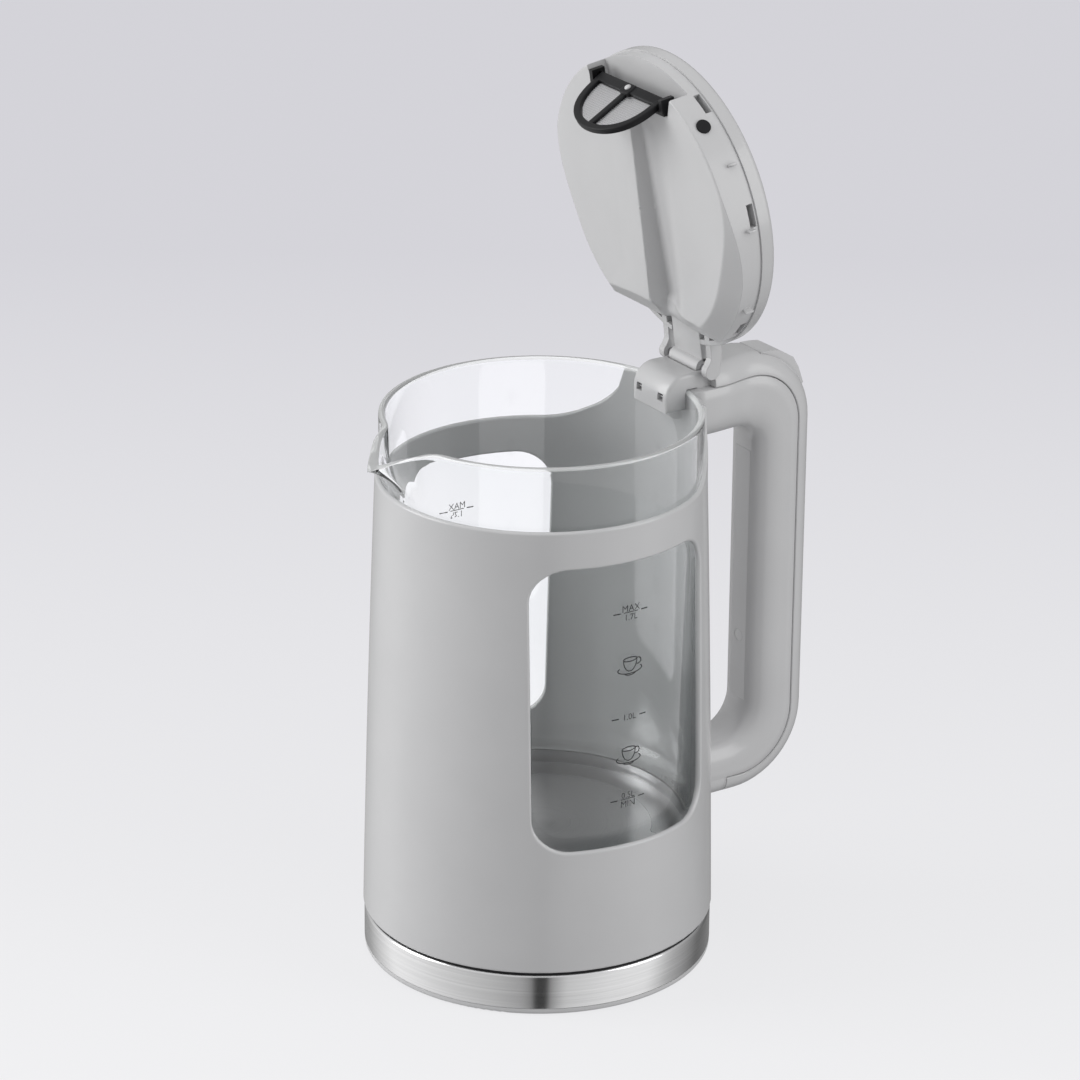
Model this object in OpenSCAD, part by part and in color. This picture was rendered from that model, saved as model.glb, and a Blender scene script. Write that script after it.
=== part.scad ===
// Cordless electric kettle: a glass jug in a moulded shell with two side windows, a concealed
// heater, a closed loop handle and a sprung lid that carries its pouring filter.
// Millimetres. +Z is up, the spout points to -X, the handle to +X, and the origin is the
// middle of the base on the table. The lid is drawn shut and then turned to its open stop.

/* [Glass jug] */
// Outside diameter of the glass
glass_d = 140; // [125:1:160]
// Thickness of the glass
glass_t = 3; // [2.5:0.1:4]
// Height of the glass rim above the table
rim_z = 250.7; // [235:0.1:290]
// How far the spout's tip stands out from the glass
spout_out = 17.5; // [12:0.5:24]
// How far the spout's tip lies below the rim
spout_drop = 6; // [3:0.5:9]
// Height of the spout's root above the shell's upper edge
spout_above_shell = 1.5; // [0.5:0.5:6]
// Half of the angle of rim that the spout takes up
spout_half = 24; // [18:1:30]

/* [Outer shell] */
// Height of the shell's lower edge
shell_z = 20; // [18:0.5:26]
// Distance from the glass rim down to the shell's upper edge
shell_below_rim = 28.2; // [20:0.1:40]
// How far the shell's upper edge stands out from the glass
shell_top_out = 1.7; // [1.4:0.1:3]
// How far the shell's lower edge stands out from the glass
shell_foot_out = 7.4; // [6.5:0.1:10]
// Thickness of the shell
shell_t = 2.8; // [2:0.1:3.2]
// Width of each window, straight across
window_w = 88; // [60:1:96]
// Height of each window
window_h = 129; // [90:1:134]
// Height of the windows' lower edge above the table
window_z = 76.5; // [70:0.5:84]
// Radius of the windows' corners
window_r = 15; // [8:0.5:22]

/* [Base] */
// Height of the steel band's upper edge
band_top = 18.8; // [16:0.1:19]
// Thickness of the steel band
band_t = 1.4; // [0.8:0.1:1.8]
// Radius of the socket that drops over the power base
socket_r = 24; // [20:0.5:26]
// Depth of that socket
socket_depth = 8; // [7:0.5:10]
// Height of the heater plate's upper face
heater_z = 57; // [56:0.5:62]

/* [Handle] */
// Width of the handle
handle_w = 28; // [24:0.5:32]
// Distance from the glass to the inner face of the grip
finger_gap = 37; // [32:0.5:44]
// Depth of the grip, from its inner face to the spine's outer face
grip_depth = 28.5; // [26:0.5:32]
// Thickness of the spine cover, from its seam to its outer face
spine_t = 9; // [8:0.5:10]
// Radius of the spine cover's long edges
spine_edge_r = 8.8; // [5:0.1:8.9]
// Height of the handle's top above the glass rim
handle_above_rim = 9.8; // [9:0.1:14]
// Depth of the handle's upper arm
upper_arm = 34.5; // [30:0.5:40]
// Height of the finger opening's lower edge
finger_z = 76.5; // [72:0.5:90]
// Height of the handle's lowest point
handle_z = 50; // [44:0.5:56]
// Thickness of the handle's walls
handle_wall = 2.3; // [1.8:0.1:2.8]

/* [Lid] */
// Angle from shut to the open stop
lid_open_angle = 81.5; // [60:0.5:88]
// Gap between the lid's plug and the glass
lid_gap = 1.2; // [0.8:0.1:2]
// Height of the lid's lip above the glass rim
lip_above_rim = 7.8; // [7.5:0.1:9]
// Depth of the plug below the lip
plug_depth = 15; // [13:0.5:18]
// Height of the lid's cap above the lip
cap_h = 7.5; // [6:0.5:10]
// Thickness of the lid's mouldings
lid_wall = 2; // [1.6:0.1:2.4]
// Distance of the hinge axis outside the glass
hinge_out = 6.8; // [6:0.1:9]
// Radius of the hinge knuckles
knuckle_r = 3.7; // [3.2:0.1:4]
// Radius of the hinge pin
hinge_pin_r = 1.5; // [1.2:0.1:1.8]
// Radial clearance of the knuckles on the pin
hinge_fit = 0.05; // [0.02:0.01:0.09]

/* [Filter] */
// Length of the filter's bar
filter_w = 48; // [40:1:52]
// Height of the filter below its bar
filter_h = 26; // [20:0.5:30]
// Lean of the filter from upright when the lid is shut
filter_lean = 22; // [10:1:30]

/* [Controls] */
// Width of the release button
button_w = 16; // [12:0.5:17]
// Travel of the release button
button_travel = 3; // [2:0.1:3.5]
// Length of the power switch's paddle
switch_h = 30; // [24:1:36]
// Width of the power switch's paddle
switch_w = 11.6; // [9:0.2:12]
// Gap round each moving button
play = 0.4; // [0.3:0.05:0.6]

/* [Hidden] */
$fn = 96;
eps = 0.01;

// Colours of the mouldings, the steel and the inner parts
grey = [0.72, 0.73, 0.75];
pale = [0.80, 0.81, 0.82];
dark = [0.13, 0.13, 0.14];
steel = [0.66, 0.67, 0.68];
brass = [0.78, 0.62, 0.32];

glass_r = glass_d / 2;
glass_ir = glass_r - glass_t;
shell_top = rim_z - shell_below_rim;
shell_foot_r = glass_r + shell_foot_out;
shell_head_r = glass_r + shell_top_out;
shell_bore_r = glass_r + 0.3;
band_r = shell_foot_r - 0.5;
glass_foot = heater_z - 3;
chassis_r = shell_r(glass_foot) - shell_t - 0.1;
spout_h = shell_below_rim - spout_above_shell;

hinge_x = glass_r + hinge_out;
hinge_z = rim_z + lip_above_rim + 0.2;
lip_z = rim_z + lip_above_rim;
plug_z = lip_z - plug_depth;
plug_r = glass_ir - lid_gap;
cap_r = glass_r - 3.5;
ledge_x = glass_r - 17.5;

handle_top = rim_z + handle_above_rim;
grip_in = glass_r + finger_gap;
grip_out = grip_in + grip_depth;
seam_x = grip_out - spine_t;
seam_top = handle_top - spine_t - 1;
seam_foot = handle_z + spine_t + 1.5;
top_corner = [seam_x - 25, seam_top - 25];
foot_corner = [seam_x - 28, seam_foot + 28];
spine_end = foot_corner[0] - 6;
spine_start = hinge_x + knuckle_r + 1;

hood_x = glass_r - 14;
hood_half = 13;
hood_z = rim_z - 9.2;
hood_top = lip_z - 0.6;
lug_in = 10.8;
lug_out = 13.8;
knuckle_half = 18;

// Radius of the shell's outside at height z: a slow taper that quickens upwards.
function shell_r(z) = let (t = (z - shell_z) / (shell_top - shell_z))
    shell_foot_r - (shell_foot_r - shell_head_r) * (0.7 * t + 0.3 * t * t);

// Turns children() so that a flat outline in X and Z becomes a slab across Y.
module across(width) {
    rotate([90, 0, 0]) linear_extrude(width, center = true) children();
}

// A tube or disc on the Z axis from z0 to z1.
module ring(r_in, r_out, z0, z1) {
    translate([0, 0, z0]) difference() {
        cylinder(r = r_out, h = z1 - z0);
        translate([0, 0, -1]) cylinder(r = r_in, h = z1 - z0 + 2);
    }
}

// A bar along Y, centred on the XZ plane.
module bar_y(r, half) {
    rotate([90, 0, 0]) cylinder(r = r, h = 2 * half, center = true);
}

// Copies children() to both sides of the XZ plane.
module both_sides() {
    children();
    mirror([0, 1, 0]) children();
}

// A rectangle from corner p0 to corner p1.
module box2(p0, p1) {
    translate(p0) square([p1[0] - p0[0], p1[1] - p0[1]]);
}

// A block from corner p0 to corner p1.
module block(p0, p1) {
    translate(p0) cube([p1[0] - p0[0], p1[1] - p0[1], p1[2] - p0[2]]);
}

// A rectangle with round corners, standing on the middle of its lower edge.
module round_rect(w, h, r) {
    box2([-w / 2 + r, 0], [w / 2 - r, h]);
    box2([-w / 2, r], [w / 2, h - r]);
    for (x = [-w / 2 + r, w / 2 - r], y = [r, h - r]) translate([x, y]) circle(r);
}

// ---------------------------------------------------------------- jug

// The spout's wedge: a slice of the glass wall drawn out to a rounded tip.
module spout_form(r, tip, top) {
    hull() {
        intersection() {
            translate([0, 0, rim_z - spout_h]) cylinder(r = r, h = spout_h + top, $fn = 64);
            linear_extrude(rim_z + top + 1) polygon([[0, 0],
                [-2 * r * cos(spout_half), 2 * r * sin(spout_half)],
                [-2 * r * cos(spout_half), -2 * r * sin(spout_half)]]);
        }
        translate([-tip, 0, rim_z - spout_drop - 3]) cylinder(r = 2.4, h = 3 + top, $fn = 24);
    }
}

module glass_jug() {
    lip_slope = atan(spout_drop / spout_out);
    color([0.86, 0.89, 0.90, 0.35]) difference() {
        union() {
            translate([0, 0, glass_foot]) cylinder(r = glass_r, h = rim_z - glass_foot);
            difference() {
                spout_form(glass_r, glass_r + spout_out - 2.4, 0);
                translate([-glass_r, 0, rim_z]) rotate([0, -lip_slope, 0])
                    block([-60, -60, 0], [0, 60, 40]);
            }
        }
        translate([0, 0, glass_foot - 1]) cylinder(r = glass_ir, h = rim_z - glass_foot + 2);
        translate([0, 0, eps]) spout_form(glass_ir, glass_r + spout_out - 5.6, 4);
    }
}

// Space that the windows take out of the shell, on both sides.
module window_cut() {
    for (side = [-1, 1]) translate([0, side * glass_r, window_z])
        across(2 * glass_r - 30) round_rect(window_w, window_h, window_r);
}

module outer_shell() {
    steps = 12;
    levels = [for (i = [0 : steps]) shell_z + (shell_top - shell_z) * i / steps];
    back_top = rim_z - 1.5;
    rise_r = 25;
    outside = concat([for (z = levels) [shell_r(z), z]], [[shell_head_r, back_top]]);
    inside = concat([[shell_bore_r, back_top]],
        [for (i = [steps : -1 : 0]) [max(shell_bore_r, shell_r(levels[i]) - shell_t), levels[i]]]);
    color(grey) difference() {
        rotate_extrude() polygon(concat(outside, inside));
        window_cut();
        across(4 * glass_r) {
            box2([-2 * glass_r, shell_top], [glass_r - 30, rim_z + 20]);
            box2([glass_r - 31, shell_top + rise_r], [glass_r - 5, rim_z + 20]);
            translate([glass_r - 30, shell_top + rise_r]) circle(rise_r);
        }
        block([glass_r, -wire_y - 2, heater_z - 1], [glass_r + 20, wire_y + 2, heater_z + 4]);
    }
}

module gap_seal() {
    color(dark) ring(chassis_r + 0.02, band_r - 0.9, band_top, shell_z);
}

module steel_base_band() {
    inner = band_r - band_t;
    color(steel) rotate_extrude() {
        box2([inner, 2.9], [band_r, band_top - band_t]);
        intersection() {
            translate([inner, band_top - band_t]) circle(band_t);
            box2([inner, band_top - band_t - 1], [band_r, band_top]);
        }
    }
}

// ---------------------------------------------------------------- base and heater

cover_screw_r = glass_r - 8;
stud_ring_r = glass_r - 14;

module base_chassis() {
    flange_r = glass_r - 9.5;
    color(dark) difference() {
        union() {
            ring(chassis_r - 2.4, chassis_r, 6, glass_foot - 0.2);
            ring(chassis_r - 0.1, band_r - band_t - 0.02, 6, band_top);
            ring(flange_r, chassis_r - 2, glass_foot - 3.5, glass_foot - 0.2);
            for (a = [60, 180, 300]) rotate(a) {
                translate([cover_screw_r, 0, 7.5]) cylinder(r = 4.2, h = 26);
                block([cover_screw_r, -1.2, 7.5], [chassis_r - 1, 1.2, 33.5]);
            }
        }
        for (a = [60, 180, 300]) rotate(a)
            translate([cover_screw_r, 0, 5]) cylinder(r = 1.6, h = 22);
        block([glass_r - 4, -wire_y - 2, glass_foot - 11], [glass_r + 12, wire_y + 2, glass_foot + 1]);
    }
}

module bottom_cover() {
    rim_r = band_r - 0.1;
    floor_z = 5.4;
    color(grey) difference() {
        union() {
            ring(socket_r, socket_r + 2.4, 0, socket_depth);
            ring(socket_r + 2, band_r - band_t - 0.1, floor_z - 2.4, floor_z);
            rotate_extrude() {
                box2([glass_r + 1, 0], [rim_r - 1.6, 2.8]);
                box2([glass_r + 1, 1.3], [rim_r, 2.8]);
                intersection() {
                    translate([rim_r - 1.6, 1.6]) circle(1.6);
                    box2([glass_r, 0], [rim_r, 2.8]);
                }
            }
            ring(glass_r + 1, glass_r + 3, 2, floor_z);
            for (a = [60, 180, 300]) rotate(a)
                translate([cover_screw_r, 0, 2]) cylinder(r = 5.4, h = floor_z - 2);
        }
        for (a = [60, 180, 300]) rotate(a) {
            translate([cover_screw_r, 0, 1]) cylinder(r = 3.2, h = 2.6);
            translate([cover_screw_r, 0, 1]) cylinder(r = 1.7, h = 8);
        }
    }
}

module cover_screws() {
    color(steel) for (a = [60, 180, 300]) rotate(a) translate([cover_screw_r, 0, 1.4])
        difference() {
            union() {
                cylinder(r = 3, h = 2.2);
                cylinder(r = 1.58, h = 18);
            }
            for (t = [0, 90]) rotate(t) block([-1.8, -0.4, -1], [1.8, 0.4, 1.2]);
        }
}

module heater_plate() {
    rim_in = glass_ir - 2.2;
    color(steel) union() {
        ring(0, glass_ir - 5, heater_z - 1.2, heater_z);
        ring(glass_ir - 5.1, rim_in + 0.1, heater_z - 1.8, heater_z - 0.6);
        ring(rim_in, glass_ir - 1, heater_z - 1.8, heater_z + 5);
    }
}

module plate_seal() {
    color([0.85, 0.85, 0.83]) union() {
        ring(glass_ir - 0.98, glass_ir - 0.02, glass_foot - 0.18, heater_z + 4.4);
        ring(glass_r - 9.4, glass_ir - 0.5, glass_foot - 0.18, heater_z - 1.82);
    }
}

spreader_r = glass_r - 20;
element_r = glass_r - 31;
element_tube = 3.3;
spreader_z = heater_z - 4.2;
element_z = spreader_z - element_tube;
element_gap = 35;

module heat_spreader() {
    color([0.80, 0.81, 0.83]) ring(0, spreader_r, spreader_z, heater_z - 1.22);
}

module heating_element() {
    color([0.45, 0.46, 0.48]) translate([0, 0, element_z]) union() {
        rotate(element_gap) rotate_extrude(angle = 360 - 2 * element_gap)
            translate([element_r, 0]) circle(element_tube);
        for (a = [-1, 1]) rotate(a * element_gap) translate([element_r, 0, 0]) {
            sphere(element_tube);
            translate([0, 0, -7]) cylinder(r = element_tube - 0.3, h = 7);
        }
    }
}

module element_terminals() {
    color(steel) for (a = [-1, 1]) rotate(a * element_gap)
        translate([element_r, 0, element_z - 15]) union() {
            cylinder(r = 1.4, h = 8);
            block([-0.5, -3, -6], [0.5, 3, 2]);
        }
}

module clamp_ring() {
    color(steel) difference() {
        ring(glass_r - 18, glass_r - 5, glass_foot - 5.1, glass_foot - 3.52);
        for (a = [30, 150, 270]) rotate(a)
            translate([stud_ring_r, 0, glass_foot - 8]) cylinder(r = 2.2, h = 8);
    }
}

module plate_studs() {
    color(steel) for (a = [30, 150, 270]) rotate(a)
        translate([stud_ring_r, 0, glass_foot - 10]) cylinder(r = 2, h = heater_z - glass_foot + 8.78);
}

module stud_nuts() {
    color(steel) for (a = [30, 150, 270]) rotate(a)
        translate([stud_ring_r, 0, glass_foot - 8.4]) difference() {
            cylinder(r = 4, h = 3.2, $fn = 6);
            translate([0, 0, -1]) cylinder(r = 2.05, h = 6);
        }
}

// ---------------------------------------------------------------- control and connector

control_z0 = socket_depth + 10.4;
control_z1 = element_z - 8;

module control_housing() {
    hx = 27;
    hy = 22;
    color([0.90, 0.89, 0.85]) difference() {
        union() {
            block([-hx, -hy, control_z0], [hx, hy, control_z1]);
            for (x = [-14, 14]) translate([x, 0, control_z1 - 1])
                cylinder(r = 6, h = spreader_z - 1.3 - control_z1);
        }
        block([-hx + 2, -hy + 2, control_z0 + 2], [hx - 2, -1, control_z1 - 2]);
        block([-hx + 2, 1, control_z0 + 2], [hx - 2, hy - 2, control_z1 - 2]);
        translate([0, 0, control_z0 - 1]) cylinder(r = 3.6, h = 8);
    }
}

module dry_boil_discs() {
    color(brass) for (x = [-14, 14]) translate([x, 0, spreader_z - 0.9])
        cylinder(r = 8, h = 0.8);
}

module connector_inlet() {
    top = control_z0 - 0.1;
    color(dark) difference() {
        union() {
            ring(0, socket_r + 5, socket_depth + 0.02, socket_depth + 2.2);
            ring(0, socket_r - 5, socket_depth + 1, top);
        }
        ring(12, 16, socket_depth - 1, top - 2);
        ring(6, 10, socket_depth - 1, top - 2);
        translate([0, 0, socket_depth - 1]) cylinder(r = 4, h = top - socket_depth - 1);
        translate([0, 0, socket_depth]) cylinder(r = 3.2, h = 20);
    }
}

module outer_contact_ring() {
    color(brass) ring(13.4, 14.6, socket_depth + 1.5, control_z0 - 2.12);
}

module inner_contact_ring() {
    color(brass) ring(7.4, 8.6, socket_depth + 1.5, control_z0 - 2.12);
}

module earth_contact() {
    color(brass) ring(2, 3.1, socket_depth + 1.5, control_z0 + 5);
}

// ---------------------------------------------------------------- handle

// Seam outline of the handle: its side view inside the spine cover.
module seam_outline(grow = 0) {
    translate(top_corner) circle(25 + grow);
    translate(foot_corner) circle(28 + grow);
    box2([glass_r, handle_z], [spine_end - 0.3, seam_foot + 20]);
    box2([glass_r, seam_foot - grow], [foot_corner[0], seam_top + grow]);
    box2([glass_r, foot_corner[1]], [seam_x + grow, top_corner[1]]);
    box2([glass_r, top_corner[1]], [top_corner[0], seam_top + grow]);
}

// The opening for the fingers, grown on all sides by grow.
module finger_outline(grow = 0) {
    z0 = finger_z - grow;
    z1 = handle_top - upper_arm + grow;
    x1 = grip_in + grow;
    low_r = 17 + grow;
    high_r = 9 + grow;
    box2([glass_r - 5, z0], [x1 - low_r, z0 + low_r + 1]);
    box2([glass_r - 5, z0 + low_r], [x1, z1 - high_r]);
    box2([glass_r - 5, z1 - high_r - 1], [x1 - high_r, z1]);
    translate([x1 - low_r, z0 + low_r]) circle(low_r);
    translate([x1 - high_r, z1 - high_r]) circle(high_r);
}

// Plan of the handle, which widens to meet the hinge.
module handle_plan() {
    h = handle_w / 2;
    wide = knuckle_half;
    polygon([[glass_r - 20, -wide], [spine_start + 3, -wide], [spine_start + 19, -h], [grip_out + 5, -h],
        [grip_out + 5, h], [spine_start + 19, h], [spine_start + 3, wide], [glass_r - 20, wide]]);
}

// Everything inside the shell's outer surface, which the handle is shaped to.
module shell_core() {
    steps = 12;
    levels = [for (i = [0 : steps]) shell_z + (shell_top - shell_z) * i / steps];
    rotate(180) rotate_extrude() polygon(concat([[0, shell_z]], [for (z = levels) [shell_r(z) + 0.02, z]],
        [[shell_head_r + 0.02, rim_z + 0.5], [0, rim_z + 0.5]]));
}

// Room for the striker on the lid's barrel as it swings.
module striker_room() {
    translate([hinge_x, 0, hinge_z]) bar_y(9.8, 3.9);
}

// Chamfers along both finger edges of the grip, set in by inset.
module grip_chamfers(inset = 0) {
    z0 = finger_z + 14;
    cut = 6;
    translate([0, 0, z0]) linear_extrude(handle_top - upper_arm - 8 - z0) both_sides_2d()
        translate([grip_in, handle_w / 2]) rotate(45)
            box2([-30, -cut / sqrt(2) - inset], [30, 20]);
}

module both_sides_2d() {
    children();
    mirror([0, 1]) children();
}

// Hollow of the handle, open towards the spine cover.
module handle_hollow() {
    difference() {
        across(handle_w - 2 * handle_wall) difference() {
            seam_outline(1);
            finger_outline(handle_wall);
            box2([0, 0], [shell_foot_r + 2, handle_z + 45]);
            box2([0, 0], [spine_end + 1, handle_z + handle_wall + 8]);
            box2([0, rim_z - 45], [shell_head_r + 2.5, rim_z + 20]);
        }
        grip_chamfers(handle_wall);
        translate([grip_in + 6, 0, screw_z]) rotate([0, 90, 0])
            cylinder(r = 3.4, h = 12, center = true);
    }
}

// Grip, arms and foot, with the ribs that the slider runs on and the seat of the button's spring.
module handle_body() {
    wide_z = handle_top - upper_arm - 12;
    color(grey) difference() {
        intersection() {
            across(2 * knuckle_half + 1) difference() {
                seam_outline();
                finger_outline();
            }
            union() {
                block([0, -handle_w / 2, 0], [grip_out, handle_w / 2, wide_z]);
                translate([0, 0, wide_z - eps]) linear_extrude(handle_top - wide_z) handle_plan();
            }
        }
        handle_hollow();
        shell_core();
        block([glass_r - 5, -4.1, hinge_z - 10.5], [hinge_x + 10, 4.1, hinge_z]);
        grip_chamfers();
        block([grip_in - 1, -5.7, strip_z - 0.2], [grip_in + 1.2, 5.7, strip_z + strip_h + 0.2]);
        translate([grip_in - 1, 0, screw_z]) rotate([0, 90, 0]) cylinder(r = 1.6, h = 20);
        both_sides() block([glass_r, wire_y - 1.8, heater_z - 1], [spine_end + 3, wire_y + 1.8, heater_z + 4]);
        translate([foot_screw_x, 0, handle_z - 1]) cylinder(r = 1.7, h = 20);
        translate([foot_screw_x, 0, handle_z - 1]) cylinder(r = 3.3, h = 2);
    }
    color(grey) {
        for (x = slider_ribs) block([x, -handle_w / 2 + 1, seam_top - 2], [x + 2, handle_w / 2 - 1, seam_top]);
        button_frame() across(handle_w - 2) box2([0, 18.6], [8, 20.2]);
    }
}

// Section of the spine cover: x = 0 at the seam, y across the handle, rounded outer edges.
module spine_section(inset = 0) {
    h = handle_w / 2 - inset;
    t = spine_t - inset;
    r = max(spine_edge_r - inset, 1);
    box2([0, -h], [t - r, h]);
    box2([0, -h + r], [t, h - r]);
    for (s = [-1, 1]) intersection() {
        translate([t - r, s * (h - r)]) circle(r);
        box2([0, -h], [t, h]);
    }
}

// The spine's band swept over the top, round both corners and along the foot.
module spine_sweep(inset = 0) {
    translate([top_corner[0] + 25, 0, foot_corner[1]])
        linear_extrude(top_corner[1] - foot_corner[1]) spine_section(inset);
    translate([top_corner[0], 0, top_corner[1]]) rotate([90, 0, 0])
        rotate_extrude(angle = 90) translate([25, 0]) spine_section(inset);
    translate([foot_corner[0], 0, foot_corner[1]]) rotate([-90, 0, 0])
        rotate_extrude(angle = 90) translate([28, 0]) spine_section(inset);
    translate([foot_corner[0], 0, seam_foot]) rotate([0, 0, 180]) rotate([0, 90, 0])
        linear_extrude(foot_corner[0] - spine_end) spine_section(inset);
    translate([top_corner[0], 0, seam_top]) rotate([0, -90, 0])
        linear_extrude(top_corner[0] - spine_start) spine_section(inset);
}

module handle_spine_cover() {
    color(grey) difference() {
        union() {
            spine_sweep();
            intersection() {
                block([spine_start, -knuckle_half, seam_top], [top_corner[0], knuckle_half, handle_top]);
                linear_extrude(rim_z + 40) handle_plan();
            }
            across(2 * hood_half) hood_outline();
            both_sides() translate([grip_out, switch_w / 2 + play + 0.1, switch_z])
                block([-7, 0, -3], [-1, 2.2, 3]);
            both_sides() translate([hinge_x, (lug_in + lug_out) / 2, hinge_z]) union() {
                bar_y(knuckle_r, (lug_out - lug_in) / 2);
                translate([0, -(lug_out - lug_in) / 2, seam_top - hinge_z])
                    block([-knuckle_r, 0, 0], [knuckle_r, lug_out - lug_in, hinge_z - seam_top]);
            }
        }
        difference() {
            spine_sweep(handle_wall);
            translate([seam_x - 6, 0, screw_z]) rotate([0, 90, 0]) cylinder(r = 3.2, h = 14);
        }
        block([spine_start + 2, -handle_w / 2 + handle_wall, seam_top - 1],
            [top_corner[0] + 1, handle_w / 2 - handle_wall, handle_top - handle_wall - 0.5]);
        across(2 * hood_half - 4) hood_room();
        ring(glass_ir - 0.5, shell_head_r + 0.4, 0, rim_z + 0.5);
        striker_room();
        both_sides() translate([hinge_x, 0, hinge_z]) {
            bar_y(knuckle_r + 0.5, lug_in - 0.3);
            translate([0, lug_out + 5.3, 0]) bar_y(knuckle_r + 0.5, 5);
            translate([-knuckle_r - 0.5, lug_out + 0.3, 0]) cube([2 * knuckle_r + 1, 10, 10]);
        }
        bar_hole();
        for (y = [-8, 8]) translate([hood_x + 2, y, rim_z - 2.2]) block([-6, -1.5, -1.5], [6, 1.5, 1.5]);
        button_frame() across(button_w + 2 * play) box2([-13.4 - play, 20], [16 + play, 50]);
        translate([grip_out, 0, switch_z])
            block([-handle_wall - 9, -switch_w / 2 - play, -switch_h / 2 - play - 0.3],
                [10, switch_w / 2 + play, switch_h / 2 + play + 0.3]);
        translate([grip_out - 4, 0, switch_z]) bar_y(1.25, switch_w / 2 + 2.7);
    }
}

module bar_hole() {
    translate([hinge_x, 0, hinge_z]) bar_y(hinge_pin_r, knuckle_half - 0.8);
}

// Side view of the hood that hooks over the rim and takes the steam.
module hood_outline() {
    r = 9.5;
    box2([hood_x, hood_z], [hood_x + r, hood_top - r]);
    intersection() {
        translate([hood_x + r, hood_top - r]) circle(r);
        box2([hood_x, hood_top - r - 1], [hood_x + r, hood_top]);
    }
    box2([hood_x + r - 1, hood_z], [glass_r, hood_top]);
    box2([glass_r - 1, seam_top], [spine_start + 3, hood_top]);
}

module hood_room() {
    r = 7.3;
    w = handle_wall - 0.1;
    box2([hood_x + w, hood_z + w], [glass_ir - 3, hood_top - w - r]);
    translate([hood_x + w + r, hood_top - w - r]) circle(r);
    box2([hood_x + w + r, hood_top - w - 2 * r], [hinge_x - knuckle_r - 2, hood_top - w]);
    box2([hinge_x - knuckle_r - 3, seam_top - 1], [spine_start + 4, hinge_z - knuckle_r - 2.4]);
}

strip_z = finger_z + 14;
strip_h = handle_top - upper_arm - finger_z - 28;
screw_z = 122;
foot_screw_x = shell_foot_r + 8;

module handle_grip_strip() {
    color(pale) difference() {
        block([grip_in - 0.1, -5.5, strip_z], [grip_in + 1.1, 5.5, strip_z + strip_h]);
        translate([grip_in - 1, 0, screw_z]) rotate([0, 90, 0]) cylinder(r = 3, h = 10);
    }
}

module handle_screws() {
    color(steel) {
        translate([grip_in + 0.4, 0, screw_z]) rotate([0, 90, 0]) difference() {
            union() {
                cylinder(r = 2.8, h = 0.75);
                cylinder(r = 1.5, h = 11);
            }
            for (t = [0, 90]) rotate(t) block([-1.6, -0.4, -1], [1.6, 0.4, 0.4]);
        }
        translate([foot_screw_x, 0, handle_z + 0.2]) difference() {
            union() {
                cylinder(r = 3, h = 0.75);
                cylinder(r = 1.6, h = 14);
            }
            for (t = [0, 90]) rotate(t) block([-1.8, -0.4, -1], [1.8, 0.4, 0.5]);
        }
    }
}

// ---------------------------------------------------------------- steam switch and wiring

switch_z = 160;
steam_x = grip_in + 10.5;
steam_z = seam_top - 14;
wire_y = 5;
tube_r = 3.4;

// A round bar from one [x, z] point to the next, along X or Z only.
module wire_run(a, b, r) {
    d = b - a;
    translate([a[0], 0, a[1]]) rotate([0, atan2(d[0], d[1]), 0])
        translate([0, 0, -r]) cylinder(r = r, h = norm(d) + 2 * r, $fn = 24);
}

module steam_tube() {
    bend = 9;
    color(pale) difference() {
        union() {
            translate([shell_head_r + 3, 0, steam_z]) rotate([0, 90, 0])
                cylinder(r = tube_r, h = steam_x - bend - shell_head_r - 3);
            translate([steam_x - bend, 0, steam_z - bend]) rotate([90, 0, 0])
                rotate_extrude(angle = 90) translate([bend, 0]) circle(tube_r);
            translate([steam_x, 0, switch_z + 22]) cylinder(r = tube_r, h = steam_z - bend - switch_z - 22);
        }
        translate([shell_head_r + 2, 0, steam_z]) rotate([0, 90, 0])
            cylinder(r = tube_r - 0.9, h = steam_x - bend - shell_head_r - 2);
        translate([steam_x - bend, 0, steam_z - bend]) rotate([90, 0, 0])
            rotate_extrude(angle = 90) translate([bend, 0]) circle(tube_r - 0.9);
        translate([steam_x, 0, switch_z + 21]) cylinder(r = tube_r - 0.9, h = steam_z - bend - switch_z - 21);
    }
}

module steam_switch() {
    color([0.90, 0.89, 0.85]) difference() {
        block([grip_in + 4.4, -7.4, switch_z - 18], [seam_x - 2.6, 7.4, switch_z + 18]);
        translate([steam_x, 0, switch_z + 17.2]) cylinder(r = 5.8, h = 3);
        block([grip_in + 6, -5.8, switch_z - 16], [seam_x - 4.2, 5.8, switch_z + 15]);
    }
}

module steam_disc() {
    color(brass) translate([steam_x, 0, switch_z + 17.3]) cylinder(r = 5.6, h = 0.6);
}

module switch_wires() {
    wire_x = grip_in + 5.6;
    drop_x = glass_r + 2.4;
    r = 1.1;
    points = [[wire_x, switch_z - 18.1 - r], [wire_x, heater_z + 1.4], [drop_x, heater_z + 1.4],
        [drop_x, glass_foot - 8.6], [27.1 + r, glass_foot - 8.6]];
    color([0.75, 0.15, 0.12]) for (y = [-wire_y, wire_y]) translate([0, y, 0]) union()
        for (i = [1 : len(points) - 1]) wire_run(points[i - 1], points[i], r);
}

// ---------------------------------------------------------------- lid

module on_lid() {
    translate([hinge_x, 0, hinge_z]) rotate([0, lid_open_angle, 0])
        translate([-hinge_x, 0, -hinge_z]) children();
}

module hinge_pin() {
    color(steel) bar_hole();
}

// Turns of a torsion spring round the pin, on each side of the striker.
module lid_springs() {
    wire = 0.45;
    color(steel) both_sides() translate([hinge_x, 0, hinge_z]) rotate([-90, 0, 0])
        for (i = [0 : 4]) translate([0, 0, 4.5 + i * 2 * wire * 0.98])
            rotate_extrude() translate([hinge_pin_r + 0.9, 0]) circle(wire, $fn = 24);
}

// Rise of the cap's dome
dome_h = 1.6;

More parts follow.
